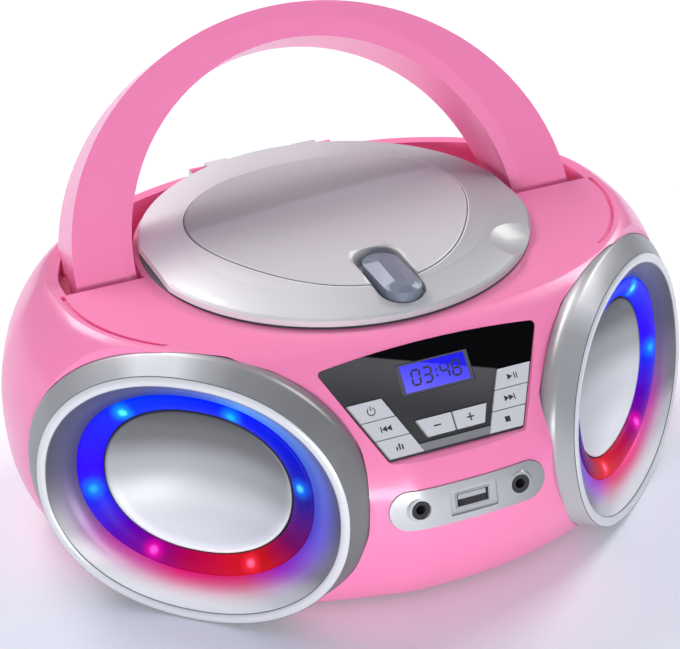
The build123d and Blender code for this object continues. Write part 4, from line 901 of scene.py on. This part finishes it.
def arrow(middle, shift, width, way):
    """A triangle beside its key's middle that points right (way 1) or left (way -1)."""
    x, y = middle[0] + shift, middle[1]
    reach = way * width / 2
    corners = [(x - reach, y - MARK_HALF), (x + reach, y), (x - reach, y + MARK_HALF)]
    return corners if way > 0 else corners[::-1]


def key_mark(key, outlines):
    """Put dark marks on a key's top."""
    name = "mark_" + key.removeprefix("key_")
    low, high = KEY_TOP - MARK_SINK, KEY_TOP + MARK_RISE
    flat_piece(name, display, outlines, low, high, ink, key)


middle = key_middle(-1, 0)
power_arc = arc_band(middle[0], middle[1] - 0.1, 1.25, 1.6, 125, 415)
key_mark("key_power", power_arc + [bar(middle, -0.18, 0.18, 0.1, 1.9)])
middle = key_middle(-1, 1)
left_arrows = [arrow(middle, 1.3, 1.9, -1), arrow(middle, -0.5, 1.9, -1)]
key_mark("key_previous", left_arrows + [bar(middle, -1.9, -1.5)])
middle = key_middle(-1, 2)
mode_bars = [(-1.7, -1.1, 0.2), (-0.6, 0, 1.2), (0.5, 1.1, 0.7)]
key_mark("key_mode", [bar(middle, start, end, high=high) for start, end, high in mode_bars])
middle = key_middle(1, 0)
key_mark("key_play", [arrow(middle, -1.1, 2.0, 1), bar(middle, 0.5, 0.9), bar(middle, 1.4, 1.8)])
middle = key_middle(1, 1)
right_arrows = [arrow(middle, -1.3, 1.9, 1), arrow(middle, 0.5, 1.9, 1)]
key_mark("key_next", right_arrows + [bar(middle, 1.5, 1.9)])
key_mark("key_stop", [bar(key_middle(1, 2), -1.0, 1.0, -1.0, 1.0)])
# The minus and the plus have their level bar at the same height.
SIGN_LOW = -9.95
SIGN_HIGH = -9.45
key_mark("key_volume_down", [rectangle(-6.7, -3.9, SIGN_LOW, SIGN_HIGH)])
plus_upright = [rectangle(7.35, 7.85, -11.1, SIGN_LOW), rectangle(7.35, 7.85, SIGN_HIGH, -8.3)]
key_mark("key_volume_up", [rectangle(6.2, 9.0, SIGN_LOW, SIGN_HIGH)] + plus_upright)


# Camera, lamps and floor
# The camera's place, its turns, and its focal length in pixels of a picture of this width
CAMERA = (-307.43, -773.41, 529.67)
YAW = math.radians(21.74)
PITCH = math.radians(29.39)
ROLL = math.radians(-2.42)
SENSOR_WIDTH = 36.0
PICTURE_WIDTH = 680
FOCAL_PIXELS = 2443.63
forward = Vector((math.sin(YAW) * math.cos(PITCH), math.cos(YAW) * math.cos(PITCH), -math.sin(PITCH)))
right = Vector((math.cos(YAW), -math.sin(YAW), 0))
upward = right.cross(forward)
right_rolled = right * math.cos(ROLL) + upward * math.sin(ROLL)
up_rolled = upward * math.cos(ROLL) - right * math.sin(ROLL)
camera_data = bpy.data.cameras.new("camera")
camera = bpy.data.objects.new("camera", camera_data)
bpy.context.scene.collection.objects.link(camera)
rows = [[right_rolled[i], up_rolled[i], -forward[i], at(*CAMERA)[i]] for i in range(3)]
camera.matrix_world = Matrix(rows + [[0, 0, 0, 1]])
camera_data.sensor_width = SENSOR_WIDTH
camera_data.sensor_fit = "HORIZONTAL"
camera_data.lens = SENSOR_WIDTH * FOCAL_PIXELS / PICTURE_WIDTH
camera_data.clip_end = 20
bpy.context.scene.camera = camera

WARM = (1.0, 0.98, 0.94)
WHITE = (1, 1, 1)


def lamp(name, place, target, size, size_y, power, color):
    """A soft rectangular lamp that faces a point, in metres and watts."""
    data = bpy.data.lights.new(name, "AREA")
    data.shape = "RECTANGLE"
    data.size = size
    data.size_y = size_y
    data.energy = power
    data.color = color
    obj = bpy.data.objects.new(name, data)
    bpy.context.scene.collection.objects.link(obj)
    obj.location = place
    obj.rotation_euler = (Vector(target) - Vector(place)).to_track_quat("-Z", "Y").to_euler()


lamp("left back lamp", (-0.45, 1.05, 1.12), (0, 0, 0.05), 1.0, 0.5, 15, WARM)
lamp("right back lamp", (1.15, 0.5, 1.1), (0, 0, 0.05), 0.8, 0.5, 13, WARM)
lamp("front lamp", (-0.6, -1.5, 0.36), (0, 0, 0.07), 1.0, 0.4, 18, WHITE)

FLOOR_HALF = 3.0
FLOOR_GLOW = 0.09
floor_mesh = bpy.data.meshes.new("floor")
floor_corners = [(x, y, 0) for x, y in rectangle(-FLOOR_HALF, FLOOR_HALF, -FLOOR_HALF, FLOOR_HALF)]
floor_mesh.from_pydata(floor_corners, [], [(0, 1, 2, 3)])
floor = bpy.data.objects.new("floor", floor_mesh)
bpy.context.scene.collection.objects.link(floor)
floor_material, floor_tree, floor_shader = new_material("floor")
floor_shader.inputs["Base Color"].default_value = (0.86, 0.89, 0.96, 1)
floor_shader.inputs["Roughness"].default_value = 0.6
floor_shader.inputs["Specular IOR Level"].default_value = 0.2
# A faint glow that only the camera and mirror rays see, so that it lights nothing else
path = floor_tree.nodes.new("ShaderNodeLightPath")
seen = floor_tree.nodes.new("ShaderNodeMath")
seen.operation = "ADD"
floor_tree.links.new(path.outputs["Is Camera Ray"], seen.inputs[0])
floor_tree.links.new(path.outputs["Is Glossy Ray"], seen.inputs[1])
faint = floor_tree.nodes.new("ShaderNodeMath")
faint.operation = "MULTIPLY"
faint.inputs[1].default_value = FLOOR_GLOW
floor_tree.links.new(seen.outputs[0], faint.inputs[0])
floor_tree.links.new(faint.outputs[0], floor_shader.inputs["Emission Strength"])
floor_shader.inputs["Emission Color"].default_value = (*WHITE, 1)
floor_mesh.materials.append(floor_material)

world = bpy.data.worlds.new("world")
bpy.context.scene.world = world
world.use_nodes = True
background = world.node_tree.nodes["Background"]
background.inputs["Color"].default_value = (0.72, 0.79, 1, 1)
background.inputs["Strength"].default_value = 0.29
bpy.context.scene.view_settings.view_transform = "Standard"
